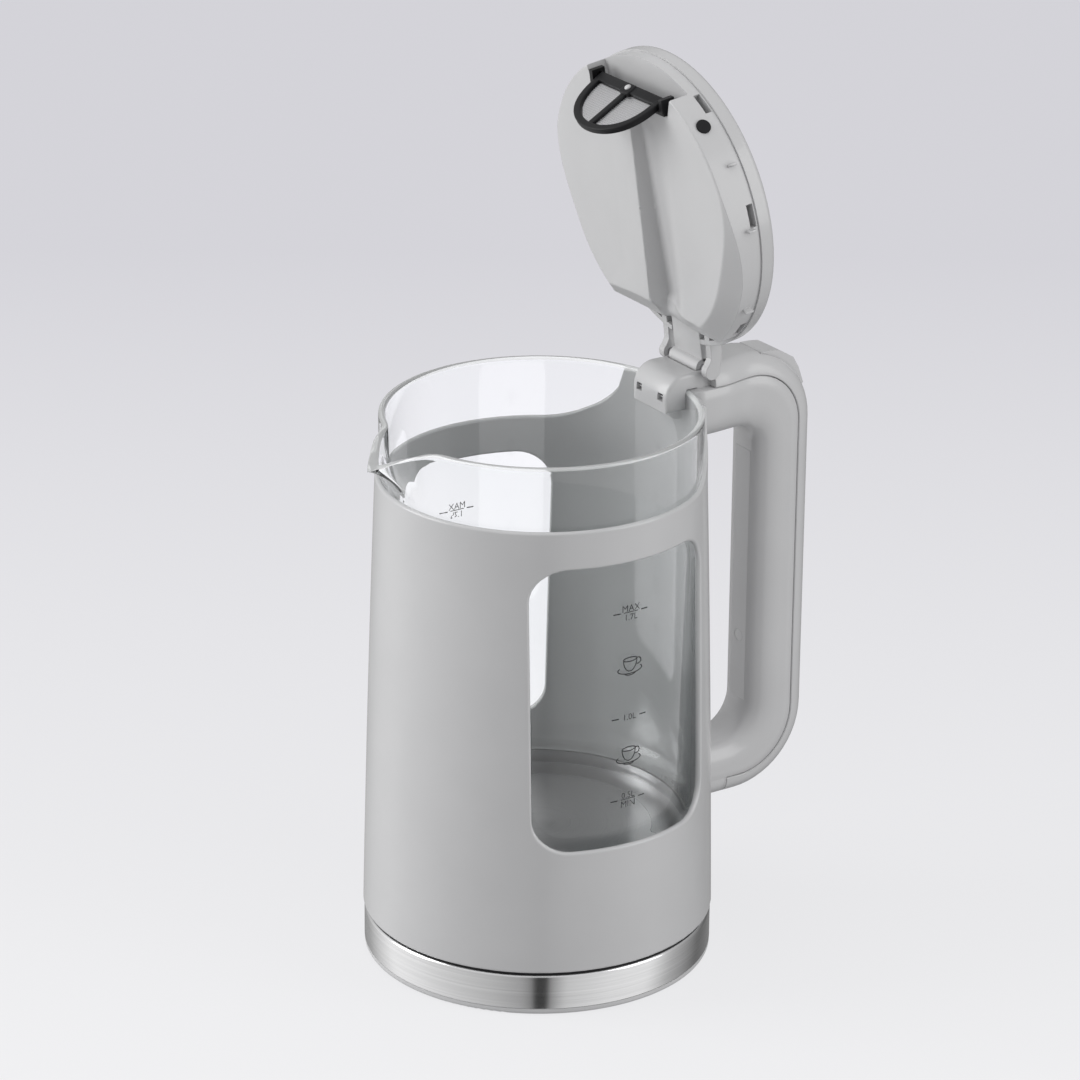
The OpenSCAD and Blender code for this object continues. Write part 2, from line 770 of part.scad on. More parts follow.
// The cap's section: a skirt with a rounded shoulder under a slightly domed top.
module cap_section(inset) {
    r = cap_r - inset;
    top = lip_z + cap_h - inset;
    edge = 3 - inset * 0.6;
    box2([0, lip_z - 1], [r, top - edge]);
    box2([0, lip_z - 1], [r - edge, top]);
    translate([r - edge, top - edge]) circle(edge);
    polygon([[0, top + dome_h], for (i = [1 : 6]) let (x = (r - edge) * i / 6)
        [x, top + dome_h * (1 - pow((i - 1) / 5, 2))], [r - edge, lip_z], [0, lip_z]]);
}

module lid_cover() {
    color(grey) on_lid() difference() {
        union() {
            rotate_extrude() intersection() {
                cap_section(0);
                box2([0, lip_z], [2 * glass_r, lip_z + 40]);
            }
            both_sides() hinge_arm();
        }
        difference() {
            rotate_extrude() intersection() {
                cap_section(lid_wall + 0.2);
                box2([-1, lip_z - 0.5], [2 * glass_r, lip_z + 40]);
            }
            both_sides() block([hinge_x - 25, lug_out + 0.5, lip_z], [hinge_x, knuckle_half, lip_z + 40]);
        }
        translate([hinge_x, 0, hinge_z]) bar_y(hinge_pin_r + hinge_fit, knuckle_half - 0.6);
        block([ledge_x, -tongue_half - 0.3, lip_z - 1], [hinge_x, tongue_half + 0.3, tongue_z + 0.3]);
    }
}

// One outer knuckle and the arm that joins it to the cap.
module hinge_arm() {
    y0 = lug_out + 0.5;
    translate([hinge_x, (y0 + knuckle_half) / 2, hinge_z]) bar_y(knuckle_r, (knuckle_half - y0) / 2);
    translate([0, (y0 + knuckle_half) / 2, 0]) across(knuckle_half - y0)
        polygon([[hinge_x - 1, hinge_z - 3.4], [hinge_x, hinge_z + knuckle_r], [hinge_x - 8, lip_z + cap_h - 1.6],
            [hinge_x - 14, lip_z + cap_h - 1.6], [hinge_x - 14, lip_z + 0.3], [hinge_x - 6, lip_z + 0.1]]);
}

// Depth and slope of the steam channel in the plug's underside.
groove_front = 3.6;
groove_back = 9;
groove_x = -42;

// The channel's V, swept from the filter down to the hinge end.
module groove(grow = 0) {
    run = ledge_x - groove_x;
    slope = atan((groove_back - groove_front) / run);
    apex = groove_front + grow;
    translate([groove_x, 0, plug_z]) rotate([0, -slope, 0]) rotate([90, 0, 90])
        translate([0, 0, -grow]) linear_extrude(run + 30)
            polygon([[-50 - grow * 1.2, -30], [0, apex], [50 + grow * 1.2, -30]]);
}

pocket_x = -glass_r + 20;
bar_x = pocket_x - 4.5;
tongue_half = lug_in - 0.4;
tongue_z = lip_z + knuckle_r - 0.2;
snap_angles = [146, 100, 45, -45, -100, -146];

module lid_liner() {
    color(pale) on_lid() difference() {
        union() {
            difference() {
                translate([0, 0, plug_z]) cylinder(r = plug_r, h = plug_depth);
                block([ledge_x, -glass_r, plug_z - 1], [glass_r, glass_r, lip_z + 5]);
            }
            intersection() {
                ring(plug_r - 6, cap_r - lid_wall - 0.4, lip_z - 1, lip_z + lid_wall);
                block([-glass_r, -glass_r, 0], [ledge_x, glass_r, rim_z + 40]);
            }
            block([ledge_x - 6, -tongue_half, lip_z - 1], [ledge_x, tongue_half, tongue_z]);
            block([ledge_x - 1, -tongue_half, lip_z], [hinge_x - 2, tongue_half, tongue_z]);
            translate([hinge_x, 0, hinge_z]) bar_y(knuckle_r, tongue_half);
            translate([hinge_x, 0, hinge_z]) rotate([0, 25, 0]) across(6.4)
                box2([0, -1.3], [9, 1.3]);
            for (a = [120, 95, 60, -60, -95, -120]) rotate(a)
                block([plug_r - 1, -0.6, rim_z + 0.5], [glass_r - 1.4, 0.6, lip_z - 2.5]);
        }
        difference() {
            translate([0, 0, plug_z + lid_wall]) cylinder(r = plug_r - lid_wall, h = plug_depth + 10);
            block([ledge_x - lid_wall, -glass_r, plug_z - 1], [glass_r, glass_r, lip_z + 40]);
            groove(lid_wall);
            block([-glass_r, -38, plug_z], [pocket_x + lid_wall, 38, lip_z - 3.6]);
        }
        groove();
        linear_extrude(lip_z - 5.6) polygon([[pocket_x, -filter_w / 2 - 4], [-glass_r - 5, -filter_w / 2 - 13],
            [-glass_r - 5, filter_w / 2 + 13], [pocket_x, filter_w / 2 + 4]]);
        for (a = snap_angles) rotate(a) block([plug_r - 3, -5, lip_z - 4], [glass_r + 5, 5, lip_z - 1]);
        translate([hinge_x, 0, hinge_z]) bar_y(hinge_pin_r + hinge_fit, 30);
        both_sides() translate([hinge_x, 6.2, hinge_z]) bar_y(knuckle_r + 1, 2.4);
        both_sides() rotate(137) translate([plug_r - 5, 0, plug_z + 6.5]) rotate([0, 90, 0])
            cylinder(r = 3.2, h = 10);
    }
}

module lid_pads() {
    color(dark) on_lid() both_sides() rotate(137) translate([plug_r - lid_wall, 0, plug_z + 6.5])
        rotate([0, 90, 0]) cylinder(r = 3.18, h = lid_wall + 0.7);
}

// ---------------------------------------------------------------- filter

bar_z = plug_z + 2;

module filter_holder() {
    half = filter_w / 2;
    color(dark) on_lid() union() {
        block([bar_x + 3.1, -half - 3.2, plug_z - 1], [bar_x + 4.4, half + 3.2, plug_z + 5]);
        both_sides() difference() {
            block([bar_x - 3, half + 0.8, plug_z - 1.5], [bar_x + 3.3, half + 3.2, plug_z + 5]);
            translate([bar_x, half, bar_z]) bar_y(1.56, 2.2);
        }
    }
}

// The filter's outline in its own plane: a straight bar above a deep round bow.
module bow(inset = 0) {
    half = filter_w / 2 - 1 - inset;
    depth = filter_h - inset;
    polygon(concat([[half, -1]], [for (i = [0 : 16]) let (a = -90 + 90 * i / 8)
        [half * sin(a), -depth * pow(cos(a), 0.75) - 1]], [[-half, -1]]));
}

module in_filter_plane() {
    on_lid() translate([bar_x, 0, bar_z]) rotate([0, -filter_lean, 0])
        rotate([90, 0, 90]) children();
}

module filter_frame() {
    half = filter_w / 2;
    color(dark) in_filter_plane() union() {
        translate([0, 0, -1.6]) linear_extrude(3.2) difference() {
            bow();
            bow(3.4);
            box2([-half, -3.2], [half, 5]);
        }
        translate([0, 0, -1.6]) linear_extrude(3.2) box2([-half, -3.6], [half, 1.4]);
        translate([0, 0, -1.4]) linear_extrude(2.8) box2([-1.7, -filter_h + 1], [1.7, 0]);
        rotate([0, 90, 0]) cylinder(r = 1.5, h = 2 * half + 3.2, center = true);
        translate([0, -1.4, -2.3]) cylinder(r = 3, h = 3.9);
    }
}

module filter_mesh() {
    color([0.7, 0.7, 0.7, 0.6]) in_filter_plane() both_sides_x() translate([0, 0, -0.15])
        linear_extrude(0.3) intersection() {
            bow(3.5);
            box2([1.8, -filter_h], [filter_w, -3.7]);
        }
}

module both_sides_x() {
    children();
    mirror([1, 0, 0]) children();
}

// ---------------------------------------------------------------- release and power switch

// Frame of the button: +Z of the outline points out of the handle's top corner.
leg_x = top_corner[0] + 6.9;
slider_nose = hinge_x + 8.8 + 0.6 * button_travel + 0.4;
slider_ribs = [slider_nose + 4.5, top_corner[0] - 1];

module button_frame() {
    translate([top_corner[0], 0, top_corner[1]]) rotate([0, 90 - 53.13, 0]) children();
}

module release_button() {
    color(pale) union() {
        button_frame() {
            across(button_w) difference() {
                polygon([[-13.4, 28.5], [-13.4, 31.2], [-9.7, 33.8], [-5.3, 36.3], [3.8, 37.4], [9.3, 35.1],
                    [16, 30.7], [16, 28.5]]);
                box2([-11.4, 20], [14, 30.2]);
            }
            translate([4, 0, 24]) cylinder(r = 2, h = 8);
        }
        block([leg_x, -2.5, seam_top + 0.9], [leg_x + 2.2, 2.5, handle_top - 3.5]);
    }
}

module button_spring() {
    color(steel) button_frame() translate([4, 0, 0])
        for (i = [0 : 5]) translate([0, 0, 20.7 + i * 1.3])
            rotate_extrude() translate([2.9, 0]) circle(0.4, $fn = 24);
}

// Slider that the button's leg drives towards the hinge, to kick the lid's striker.
module release_slider() {
    z = seam_top + 0.2;
    nose = slider_nose;
    color(steel) difference() {
        across(8) {
            box2([nose, z], [leg_x + 3.8, z + 1.6]);
            box2([nose, z], [nose + 3, z + 5.4]);
        }
        block([leg_x - 0.15, -2.8, z - 1], [leg_x + 2.35, 2.8, z + 5]);
    }
}

module power_switch() {
    h = switch_h / 2;
    color(pale) translate([grip_out, 0, switch_z]) union() {
        across(switch_w) polygon([[-2.2, -h], [0.2, -h], [1, -h + 5], [0.7, 0], [1, h - 5], [0.2, h], [-2.2, h]]);
        translate([-4, 0, 0]) bar_y(1.2, switch_w / 2 + 2.3);
        translate([-4, 0, 0]) bar_y(2, switch_w / 2);
        across(4) box2([-5, -2], [0, 2]);
    }
}

glass_jug();
outer_shell();
gap_seal();
steel_base_band();
base_chassis();
bottom_cover();
cover_screws();
heater_plate();
plate_seal();
heat_spreader();
heating_element();
element_terminals();
clamp_ring();
plate_studs();
stud_nuts();
control_housing();
dry_boil_discs();
connector_inlet();
outer_contact_ring();
inner_contact_ring();
earth_contact();
handle_body();
handle_spine_cover();
handle_grip_strip();
handle_screws();
steam_tube();
steam_switch();
steam_disc();
switch_wires();
hinge_pin();
lid_springs();
button_spring();
lid_cover();
lid_liner();
lid_pads();
filter_holder();
filter_frame();
filter_mesh();
release_button();
release_slider();
power_switch();
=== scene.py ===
from math import acos, atan2, cos, hypot, pi, radians, sin, sqrt

import bmesh
import bpy
from mathutils import Matrix, Vector


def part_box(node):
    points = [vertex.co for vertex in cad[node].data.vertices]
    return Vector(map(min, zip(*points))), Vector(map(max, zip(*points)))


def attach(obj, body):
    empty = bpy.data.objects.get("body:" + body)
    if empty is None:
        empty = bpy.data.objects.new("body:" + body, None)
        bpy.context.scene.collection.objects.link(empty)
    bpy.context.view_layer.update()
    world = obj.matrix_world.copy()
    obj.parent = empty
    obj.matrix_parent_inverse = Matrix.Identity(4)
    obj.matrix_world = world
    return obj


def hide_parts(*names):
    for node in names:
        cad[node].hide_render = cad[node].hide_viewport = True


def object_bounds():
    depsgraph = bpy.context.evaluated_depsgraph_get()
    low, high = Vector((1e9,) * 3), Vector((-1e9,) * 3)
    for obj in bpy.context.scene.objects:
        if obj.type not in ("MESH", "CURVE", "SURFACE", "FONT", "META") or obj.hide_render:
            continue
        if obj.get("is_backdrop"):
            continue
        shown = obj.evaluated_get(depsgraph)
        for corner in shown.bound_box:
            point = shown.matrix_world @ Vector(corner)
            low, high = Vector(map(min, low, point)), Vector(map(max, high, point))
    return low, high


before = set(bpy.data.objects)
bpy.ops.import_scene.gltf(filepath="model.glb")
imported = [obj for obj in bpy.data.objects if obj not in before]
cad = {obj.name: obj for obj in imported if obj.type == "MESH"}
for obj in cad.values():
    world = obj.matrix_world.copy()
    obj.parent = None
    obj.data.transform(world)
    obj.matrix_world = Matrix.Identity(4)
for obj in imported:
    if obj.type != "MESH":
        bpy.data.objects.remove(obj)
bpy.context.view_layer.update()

# ------------------------------------------------------------------ camera
# A long studio lens on the spout's near side, two metres off. It looks a little down on the
# kettle and stands level but for half a degree of roll.

MM = 0.001
AIM = Vector((-0.175, 0.116, 190.67)) * MM
CAMERA_AZIMUTH = radians(-33.4)
CAMERA_HEIGHT = radians(21.98)
CAMERA_ROLL = radians(0.53)
CAMERA_DISTANCE = 2155.1 * MM
SENSOR_WIDTH, FOCAL_LENGTH = 36, 166.02

toward = Vector((sin(CAMERA_AZIMUTH) * cos(CAMERA_HEIGHT),
                 -cos(CAMERA_AZIMUTH) * cos(CAMERA_HEIGHT), sin(CAMERA_HEIGHT)))
level = Vector((cos(CAMERA_AZIMUTH), sin(CAMERA_AZIMUTH), 0))
upward = toward.cross(level)
right = cos(CAMERA_ROLL) * level + sin(CAMERA_ROLL) * upward
top = -sin(CAMERA_ROLL) * level + cos(CAMERA_ROLL) * upward

lens = bpy.data.cameras.new("camera")
lens.sensor_width = SENSOR_WIDTH
lens.lens = FOCAL_LENGTH
camera = bpy.data.objects.new("camera", lens)
camera.matrix_world = Matrix.Translation(AIM + CAMERA_DISTANCE * toward) @ Matrix(
    (right, top, toward)).transposed().to_4x4()
bpy.context.scene.collection.objects.link(camera)
bpy.context.scene.camera = camera
bpy.context.scene.view_settings.view_transform = "Standard"

# ------------------------------------------------------------------ table and light
# A pale table that fades into a pale backdrop, and a ring of soft studio panels round the
# kettle: bright at both sides, dim behind it, with one narrow gap beside the camera. The table
# lights the glass and the base from below, and stays out of the glossy reflections.

TABLE_SIZE = 6
FLOOR_NEAR, FLOOR_FAR = (0.905, 0.905, 0.915), (0.665, 0.66, 0.70)
FLOOR_MIDDLE = (0.84, 0.84, 0.855)
FADE_FROM, FADE_TO = -0.45, 0.95
GLOW_SHARE = 0.86
GLOW_ON_KETTLE, GLOW_THROUGH_GLASS = 0.55, 0.35


def nodes_of(tree):
    """Returns a short way to add a node and set its inputs."""
    def add(kind, inputs=None, **settings):
        node = tree.nodes.new(kind)
        for name, value in settings.items():
            setattr(node, name, value)
        for name, value in (inputs or {}).items():
            if isinstance(value, bpy.types.NodeSocket):
                tree.links.new(value, node.inputs[name])
            else:
                node.inputs[name].default_value = value
        return node
    return add


def ramp(add, factor, stops):
    """A colour ramp through (place, grey or colour) stops."""
    node = add("ShaderNodeValToRGB", {"Fac": factor})
    band = node.color_ramp
    while len(band.elements) < len(stops):
        band.elements.new(0.5)
    for element, (place, colour) in zip(band.elements, stops):
        element.position = place
        grey = isinstance(colour, (int, float))
        element.color = (colour, colour, colour, 1) if grey else (*colour, 1)
    return node.outputs["Color"]


floor_bm = bmesh.new()
bmesh.ops.create_grid(floor_bm, x_segments=1, y_segments=1, size=TABLE_SIZE)
floor_mesh = bpy.data.meshes.new("floor")
floor_bm.to_mesh(floor_mesh)
floor_bm.free()
floor = bpy.data.objects.new("floor", floor_mesh)
bpy.context.scene.collection.objects.link(floor)
floor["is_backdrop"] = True
floor.visible_glossy = False

floor_finish = bpy.data.materials.new("pale_floor")
floor_finish.use_nodes = True
floor_finish.node_tree.nodes.clear()
add = nodes_of(floor_finish.node_tree)
place = add("ShaderNodeTexCoord").outputs["Object"]
backward = (-toward.x / cos(CAMERA_HEIGHT), -toward.y / cos(CAMERA_HEIGHT), 0)
away = add("ShaderNodeVectorMath", {0: place, 1: backward},
           operation="DOT_PRODUCT").outputs["Value"]
fade = add("ShaderNodeMapRange", {"Value": away, "From Min": FADE_FROM, "From Max": FADE_TO})
tint = ramp(add, fade.outputs["Result"], [(0, FLOOR_NEAR), (0.3, FLOOR_MIDDLE), (1, FLOOR_FAR)])
matt = add("ShaderNodeBsdfDiffuse", {"Color": tint}).outputs["BSDF"]
ray = add("ShaderNodeLightPath").outputs
shown = add("ShaderNodeMapRange",
            {"Value": ray["Is Camera Ray"], "To Min": GLOW_ON_KETTLE, "To Max": 1.0})
bright = add("ShaderNodeMath", {0: ray["Is Transmission Ray"], 1: shown.outputs["Result"]},
             operation="MAXIMUM").outputs["Value"]
clear = add("ShaderNodeMath", {0: ray["Is Transmission Ray"], 1: GLOW_THROUGH_GLASS, 2: bright},
            operation="MULTIPLY_ADD").outputs["Value"]
glow = add("ShaderNodeEmission", {"Color": tint, "Strength": clear}).outputs["Emission"]
both = add("ShaderNodeMixShader", {"Fac": GLOW_SHARE, 1: matt, 2: glow}).outputs["Shader"]
add("ShaderNodeOutputMaterial", {"Surface": both})
floor_mesh.materials.append(floor_finish)

# Brightness of the ring of panels, by degrees round from the camera's heading.
PANELS = [(-180, 0.30), (-150, 0.42), (-112, 1.12), (-95, 1.02), (-60, 0.80), (-30, 0.62),
          (-10, 0.46), (-3, 0.30), (-1, 0.05), (7, 0.05), (9, 0.34), (20, 0.74), (50, 0.95),
          (80, 1.02), (100, 0.55), (135, 0.16), (180, 0.30)]
PANEL_FADE, PANEL_TOP = 0.25, 0.95
CEILING, BACKDROP = (0.95, 0.95, 0.96, 1), (0.78, 0.78, 0.81, 1)

world = bpy.data.worlds.new("studio")
bpy.context.scene.world = world
world.use_nodes = True
world.node_tree.nodes.clear()
add = nodes_of(world.node_tree)
heading = add("ShaderNodeTexCoord").outputs["Generated"]
turned = add("ShaderNodeVectorRotate", {"Vector": heading, "Angle": -CAMERA_AZIMUTH},
             rotation_type="Z_AXIS").outputs["Vector"]
split = add("ShaderNodeSeparateXYZ", {"Vector": turned}).outputs
facing = add("ShaderNodeMath", {0: split["Y"], 1: -1.0}, operation="MULTIPLY").outputs["Value"]
round_by = add("ShaderNodeMath", {0: split["X"], 1: facing}, operation="ARCTAN2").outputs["Value"]
turn = add("ShaderNodeMapRange", {"Value": round_by, "From Min": -pi, "From Max": pi})
walls = ramp(add, turn.outputs["Result"], [((a + 180) / 360, v) for a, v in PANELS])
height = add("ShaderNodeMapRange",
             {"Value": split["Z"], "From Min": PANEL_FADE, "From Max": PANEL_TOP}).outputs["Result"]
room = add("ShaderNodeMix", {"Factor": height, "A": walls, "B": CEILING}, data_type="RGBA")
seen = add("ShaderNodeLightPath").outputs["Is Camera Ray"]
shown = add("ShaderNodeMix", {"Factor": seen, "A": room.outputs[2], "B": BACKDROP},
            data_type="RGBA")
light = add("ShaderNodeBackground", {"Color": shown.outputs[2], "Strength": 1.0})
add("ShaderNodeOutputWorld", {"Surface": light.outputs["Background"]})

LAMP_WIDE, LAMP_HIGH = 0.9, 1.4
LAMP_AWAY, LAMP_UP = 1.5, 0.75
LAMP_AIM = Vector((0, 0, 0.2))
for name, side, power in (("left_panel", -88, 15.0), ("right_panel", 70, 7.0)):
    lamp = bpy.data.lights.new(name, "AREA")
    lamp.shape = "RECTANGLE"
    lamp.size = LAMP_WIDE
    lamp.size_y = LAMP_HIGH
    lamp.energy = power
    panel = bpy.data.objects.new(name, lamp)
    angle = CAMERA_AZIMUTH + radians(side)
    panel.location = (LAMP_AWAY * sin(angle), -LAMP_AWAY * cos(angle), LAMP_UP)
    panel.rotation_euler = (LAMP_AIM - panel.location).to_track_quat("-Z", "Y").to_euler()
    bpy.context.scene.collection.objects.link(panel)

# ------------------------------------------------------------------ glass jug
# Clear heat-resistant glass, blown as a cylinder with a fire-polished rim, and drawn out by
# hand into a narrow V spout. It stands on the heater's seal and the shell grips it.

GLASS_R, GLASS_WALL = 70 * MM, 3 * MM
GLASS_LOW, GLASS_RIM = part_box("glass_jug")[0].z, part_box("glass_jug")[1].z
# The band at the rim's top that the glass finish paints with a pale highlight.
RIM_HIGHLIGHT_BAND = 1.2 * MM
SPOUT_OUT, SPOUT_DROP = 19.0 * MM, 11.0 * MM
SPOUT_HALF = radians(21.5)
SPOUT_ROOT = GLASS_RIM - 27 * MM
SPOUT_THICKENS, TIP_BLUNT, TIP_GAIN = 2.6 * MM, 2.0 * MM, 0.4 * MM
FULL_PULL = 17.4 * MM
COLUMNS_CROWD = 1.45


def finish_piece(name, bm, body, *stands_for, smooth=True, merge=0.00001):
    """Makes a piece of a bmesh: doubles merged, faces outward, smooth, riding on its body."""
    bmesh.ops.remove_doubles(bm, verts=bm.verts, dist=merge)
    bmesh.ops.recalc_face_normals(bm, faces=bm.faces)
    for face in bm.faces:
        face.smooth = smooth
    mesh = bpy.data.meshes.new(name)
    bm.to_mesh(mesh)
    bm.free()
    piece = bpy.data.objects.new(name, mesh)
    bpy.context.scene.collection.objects.link(piece)
    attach(piece, body)
    if stands_for:
        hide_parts(*stands_for)
    return piece


def spun(profile, steps):
    """A closed profile of (radius, height) points turned once round Z."""
    bm = bmesh.new()
    line = [bm.verts.new((r, 0, z)) for r, z in profile]
    edges = [bm.edges.new(pair) for pair in zip(line, line[1:])]
    bmesh.ops.spin(bm, geom=line + edges, cent=(0, 0, 0), axis=(0, 0, 1), angle=2 * pi,
                   steps=steps, use_merge=True)
    bmesh.ops.remove_doubles(bm, verts=bm.verts, dist=1e-6)
    return bm


def arc(centre, radius, start, stop, count):
    """Points of an arc from one angle to another, in degrees."""
    angles = [radians(start + (stop - start) * i / count) for i in range(count + 1)]
    return [(centre[0] + radius * cos(a), centre[1] + radius * sin(a)) for a in angles]


def smoothstep(low, high, value):
    """Rises softly from 0 at low to 1 at high."""
    t = min(max((value - low) / (high - low), 0), 1)
    return t * t * (3 - 2 * t)


half = GLASS_WALL / 2
levels = [GLASS_LOW + (SPOUT_ROOT - GLASS_LOW) * i / 8 for i in range(9)]
neck = [SPOUT_ROOT + (GLASS_RIM - half - SPOUT_ROOT) * i / 22 for i in range(1, 23)]
outer_line = [(GLASS_R, z) for z in levels + neck]
inner_line = [(GLASS_R - GLASS_WALL, z) for z in reversed(levels + neck)]
rim_line = arc((GLASS_R - half, GLASS_RIM - half), half, 0, 180, 10)[1:-1]
glass_bm = spun(outer_line + rim_line + inner_line + [(GLASS_R, GLASS_LOW)], 176)

# Marks the band at the rim's top, where the glass finish paints a highlight.
rim_highlight_share = glass_bm.verts.layers.float.new("rim")
spout_reach = SPOUT_HALF * 2
for v in glass_bm.verts:
    v[rim_highlight_share] = 1.0 if v.co.z > GLASS_RIM - RIM_HIGHLIGHT_BAND else 0.0
    around = atan2(v.co.y, -v.co.x)
    if abs(around) > spout_reach or v.co.z < SPOUT_ROOT:
        continue
    # Crowd the columns towards the tip, then draw the wall out along the straight flanks.
    r = hypot(v.co.x, v.co.y)
    around = (1 if around > 0 else -1) * spout_reach * (abs(around) / spout_reach) ** COLUMNS_CROWD
    far = r
    bend = max(abs(around), 0.0001)
    if bend < SPOUT_HALF:
        tip = r + SPOUT_OUT - SPOUT_THICKENS * (GLASS_R - r) / GLASS_WALL
        edge = Vector((r * cos(SPOUT_HALF), r * sin(SPOUT_HALF)))
        normal = Vector((edge.y, tip - edge.x))
        flank = normal.x * tip / (normal.x * cos(bend) + normal.y * sin(bend))
        blunt = 0.5 * (flank + tip) - sqrt((0.5 * (flank - tip)) ** 2 + TIP_BLUNT ** 2) + TIP_GAIN
        ease = smoothstep(0, SPOUT_HALF * 0.55, SPOUT_HALF - bend)
        far = r + (blunt - r) * ease ** 0.8
    lift = (v.co.z - SPOUT_ROOT) / (GLASS_RIM - SPOUT_ROOT)
    pull = min(lift ** 1.9 * (3 - 2 * lift), 1)
    drawn = r + (far - r) * pull
    sag = (max(far - r, 0) / FULL_PULL) ** 1.6
    v.co.x = -drawn * cos(around)
    v.co.y = drawn * sin(around)
    v.co.z -= SPOUT_DROP * sag * min(lift, 1) ** 3

glass = finish_piece("glass_jug_blown", glass_bm, "jug", "glass_jug")


def new_finish(name):
    """An empty node material, its way to add nodes, and its Object coordinates."""
    finish = bpy.data.materials.new(name)
    finish.use_nodes = True
    finish.node_tree.nodes.clear()
    add = nodes_of(finish.node_tree)
    return finish, add, add("ShaderNodeTexCoord").outputs["Object"]


def wear(piece, finish):
    """Gives a piece one finish all over."""
    piece.data.materials.clear()
    piece.data.materials.append(finish)


def clear_glass():
    """Faintly grey glass with the slow waviness of blowing, and a highlight painted on the rim as a
    pale opaque mix.
    """
    finish, add, place = new_finish("clear_glass")
    wave = add("ShaderNodeTexNoise", {"Vector": place, "Scale": 18.0, "Detail": 1.0}).outputs["Fac"]
    bump = add("ShaderNodeBump", {"Height": wave, "Strength": 0.02, "Distance": 0.002})
    tint = ramp(add, wave, [(0.3, (0.955, 0.965, 0.965)), (0.7, (0.975, 0.98, 0.98))])
    body = add("ShaderNodeBsdfPrincipled", {"Base Color": tint, "Roughness": 0.0, "IOR": 1.48,
               "Transmission Weight": 1.0, "Normal": bump.outputs["Normal"]}).outputs["BSDF"]
    # The rim's top is mixed part way to a pale opaque surface: a painted highlight.
    rim_highlight = add("ShaderNodeBsdfPrincipled",
                 {"Base Color": (0.93, 0.94, 0.94, 1), "Roughness": 0.12, "IOR": 1.48})
    rim = add("ShaderNodeAttribute", attribute_name="rim").outputs["Fac"]
    rim_highlight_mix = add("ShaderNodeMath", {0: rim, 1: 0.42}, operation="MULTIPLY").outputs["Value"]
    with_rim_highlight = add("ShaderNodeMixShader", {"Fac": rim_highlight_mix, 1: body, 2: rim_highlight.outputs["BSDF"]})
    # Light that only shades or fills passes straight through.
    ray = add("ShaderNodeLightPath").outputs
    soft = add("ShaderNodeMath", {0: ray["Is Shadow Ray"], 1: ray["Is Diffuse Ray"]},
               operation="MAXIMUM").outputs["Value"]
    pass_through = add("ShaderNodeBsdfTransparent", {"Color": (0.90, 0.91, 0.91, 1)})
    both = add("ShaderNodeMixShader",
               {"Fac": soft, 1: with_rim_highlight.outputs["Shader"], 2: pass_through.outputs["BSDF"]})
    add("ShaderNodeOutputMaterial", {"Surface": both.outputs["Shader"]})
    return finish


wear(glass, clear_glass())

# ------------------------------------------------------------------ outer shell
# A light grey moulding, tapered upwards, with a round-cornered window on each side and a back
# that rises in a hollow curve to meet the handle's hood. Its edges are softly rounded.

SHELL_LOW, SHELL_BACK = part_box("outer_shell")[0].z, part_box("outer_shell")[1].z
SHELL_TOP = 222.5 * MM
SHELL_WALL = 2.8 * MM
FOOT_R, HEAD_R = 77.4 * MM, 71.7 * MM
WINDOW_HALF, WINDOW_CORNER = 44 * MM, 15 * MM
WINDOW_LOW, WINDOW_HIGH = 76.5 * MM, 205.5 * MM
RISE_R, RISE_X, RISE_STEEP = 25 * MM, 40 * MM, 0.985
PATCH = radians(37)
PATCH_CORNER = 0.955
PATCH_RINGS, STRIP_COLUMNS = 7, 30
CORNER_STEPS, SIDE_STEPS = 8, 12


def shell_radius(z):
    """Outer radius of the shell at a height."""
    t = (z - SHELL_LOW) / (SHELL_TOP - SHELL_LOW)
    return max(FOOT_R - (FOOT_R - HEAD_R) * (0.7 * t + 0.3 * t * t), HEAD_R)


def shell_edge(around):
    """Height of the shell's upper edge at an angle from the handle."""
    x = HEAD_R * cos(around)
    if x < RISE_X:
        return SHELL_TOP
    if x < RISE_X + RISE_R * RISE_STEEP:
        return SHELL_TOP + RISE_R - sqrt(RISE_R ** 2 - (x - RISE_X) ** 2)
    return SHELL_BACK


def window_outline():
    """The window's outline from the middle of its right side, anticlockwise, as (x, z)."""
    corner = WINDOW_CORNER
    left, right = -WINDOW_HALF + corner, WINDOW_HALF - corner
    low, high = WINDOW_LOW + corner, WINDOW_HIGH - corner
    corners = [((right, high), 0), ((left, high), 90), ((left, low), 180), ((right, low), 270)]
    points = []
    for n, (centre, start) in enumerate(corners):
        points += arc(centre, corner, start, start + 90, CORNER_STEPS)
        to = corners[(n + 1) % 4]
        end = arc(to[0], corner, to[1], to[1], 1)[0]
        begin = points[-1]
        points += [(begin[0] + (end[0] - begin[0]) * i / SIDE_STEPS,
                    begin[1] + (end[1] - begin[1]) * i / SIDE_STEPS) for i in range(1, SIDE_STEPS)]
    return points


def patch_edge(x, z):
    """Where the edge of the patch round a window lies outward of a window point: angle, height."""
    middle = (WINDOW_LOW + WINDOW_HIGH) / 2
    u, v = x / WINDOW_HALF, (z - middle) / ((WINDOW_HIGH - WINDOW_LOW) / 2)
    big = max(abs(u), abs(v))
    u, v = u / big, v / big
    if min(abs(u), abs(v)) > PATCH_CORNER:
        u, v = (1 if u > 0 else -1), (1 if v > 0 else -1)
    angle = pi / 2 - u * (pi / 2 - PATCH)
    height = middle + v * ((shell_edge(angle) - middle) if v > 0 else (middle - SHELL_LOW))
    return angle, height


def skin(bm, rows, closed=False):
    """Faces between rows of vertices that all have the same count."""
    for a, b in zip(rows, rows[1:]):
        n = len(a)
        for i in range(n if closed else n - 1):
            j = (i + 1) % n
            bm.faces.new((a[i], a[j], b[j], b[i]))


def on_shell(bm, angle, z, side=1):
    """A new vertex on the shell's outside."""
    r = shell_radius(z)
    return bm.verts.new((r * cos(angle), side * r * sin(angle), z))


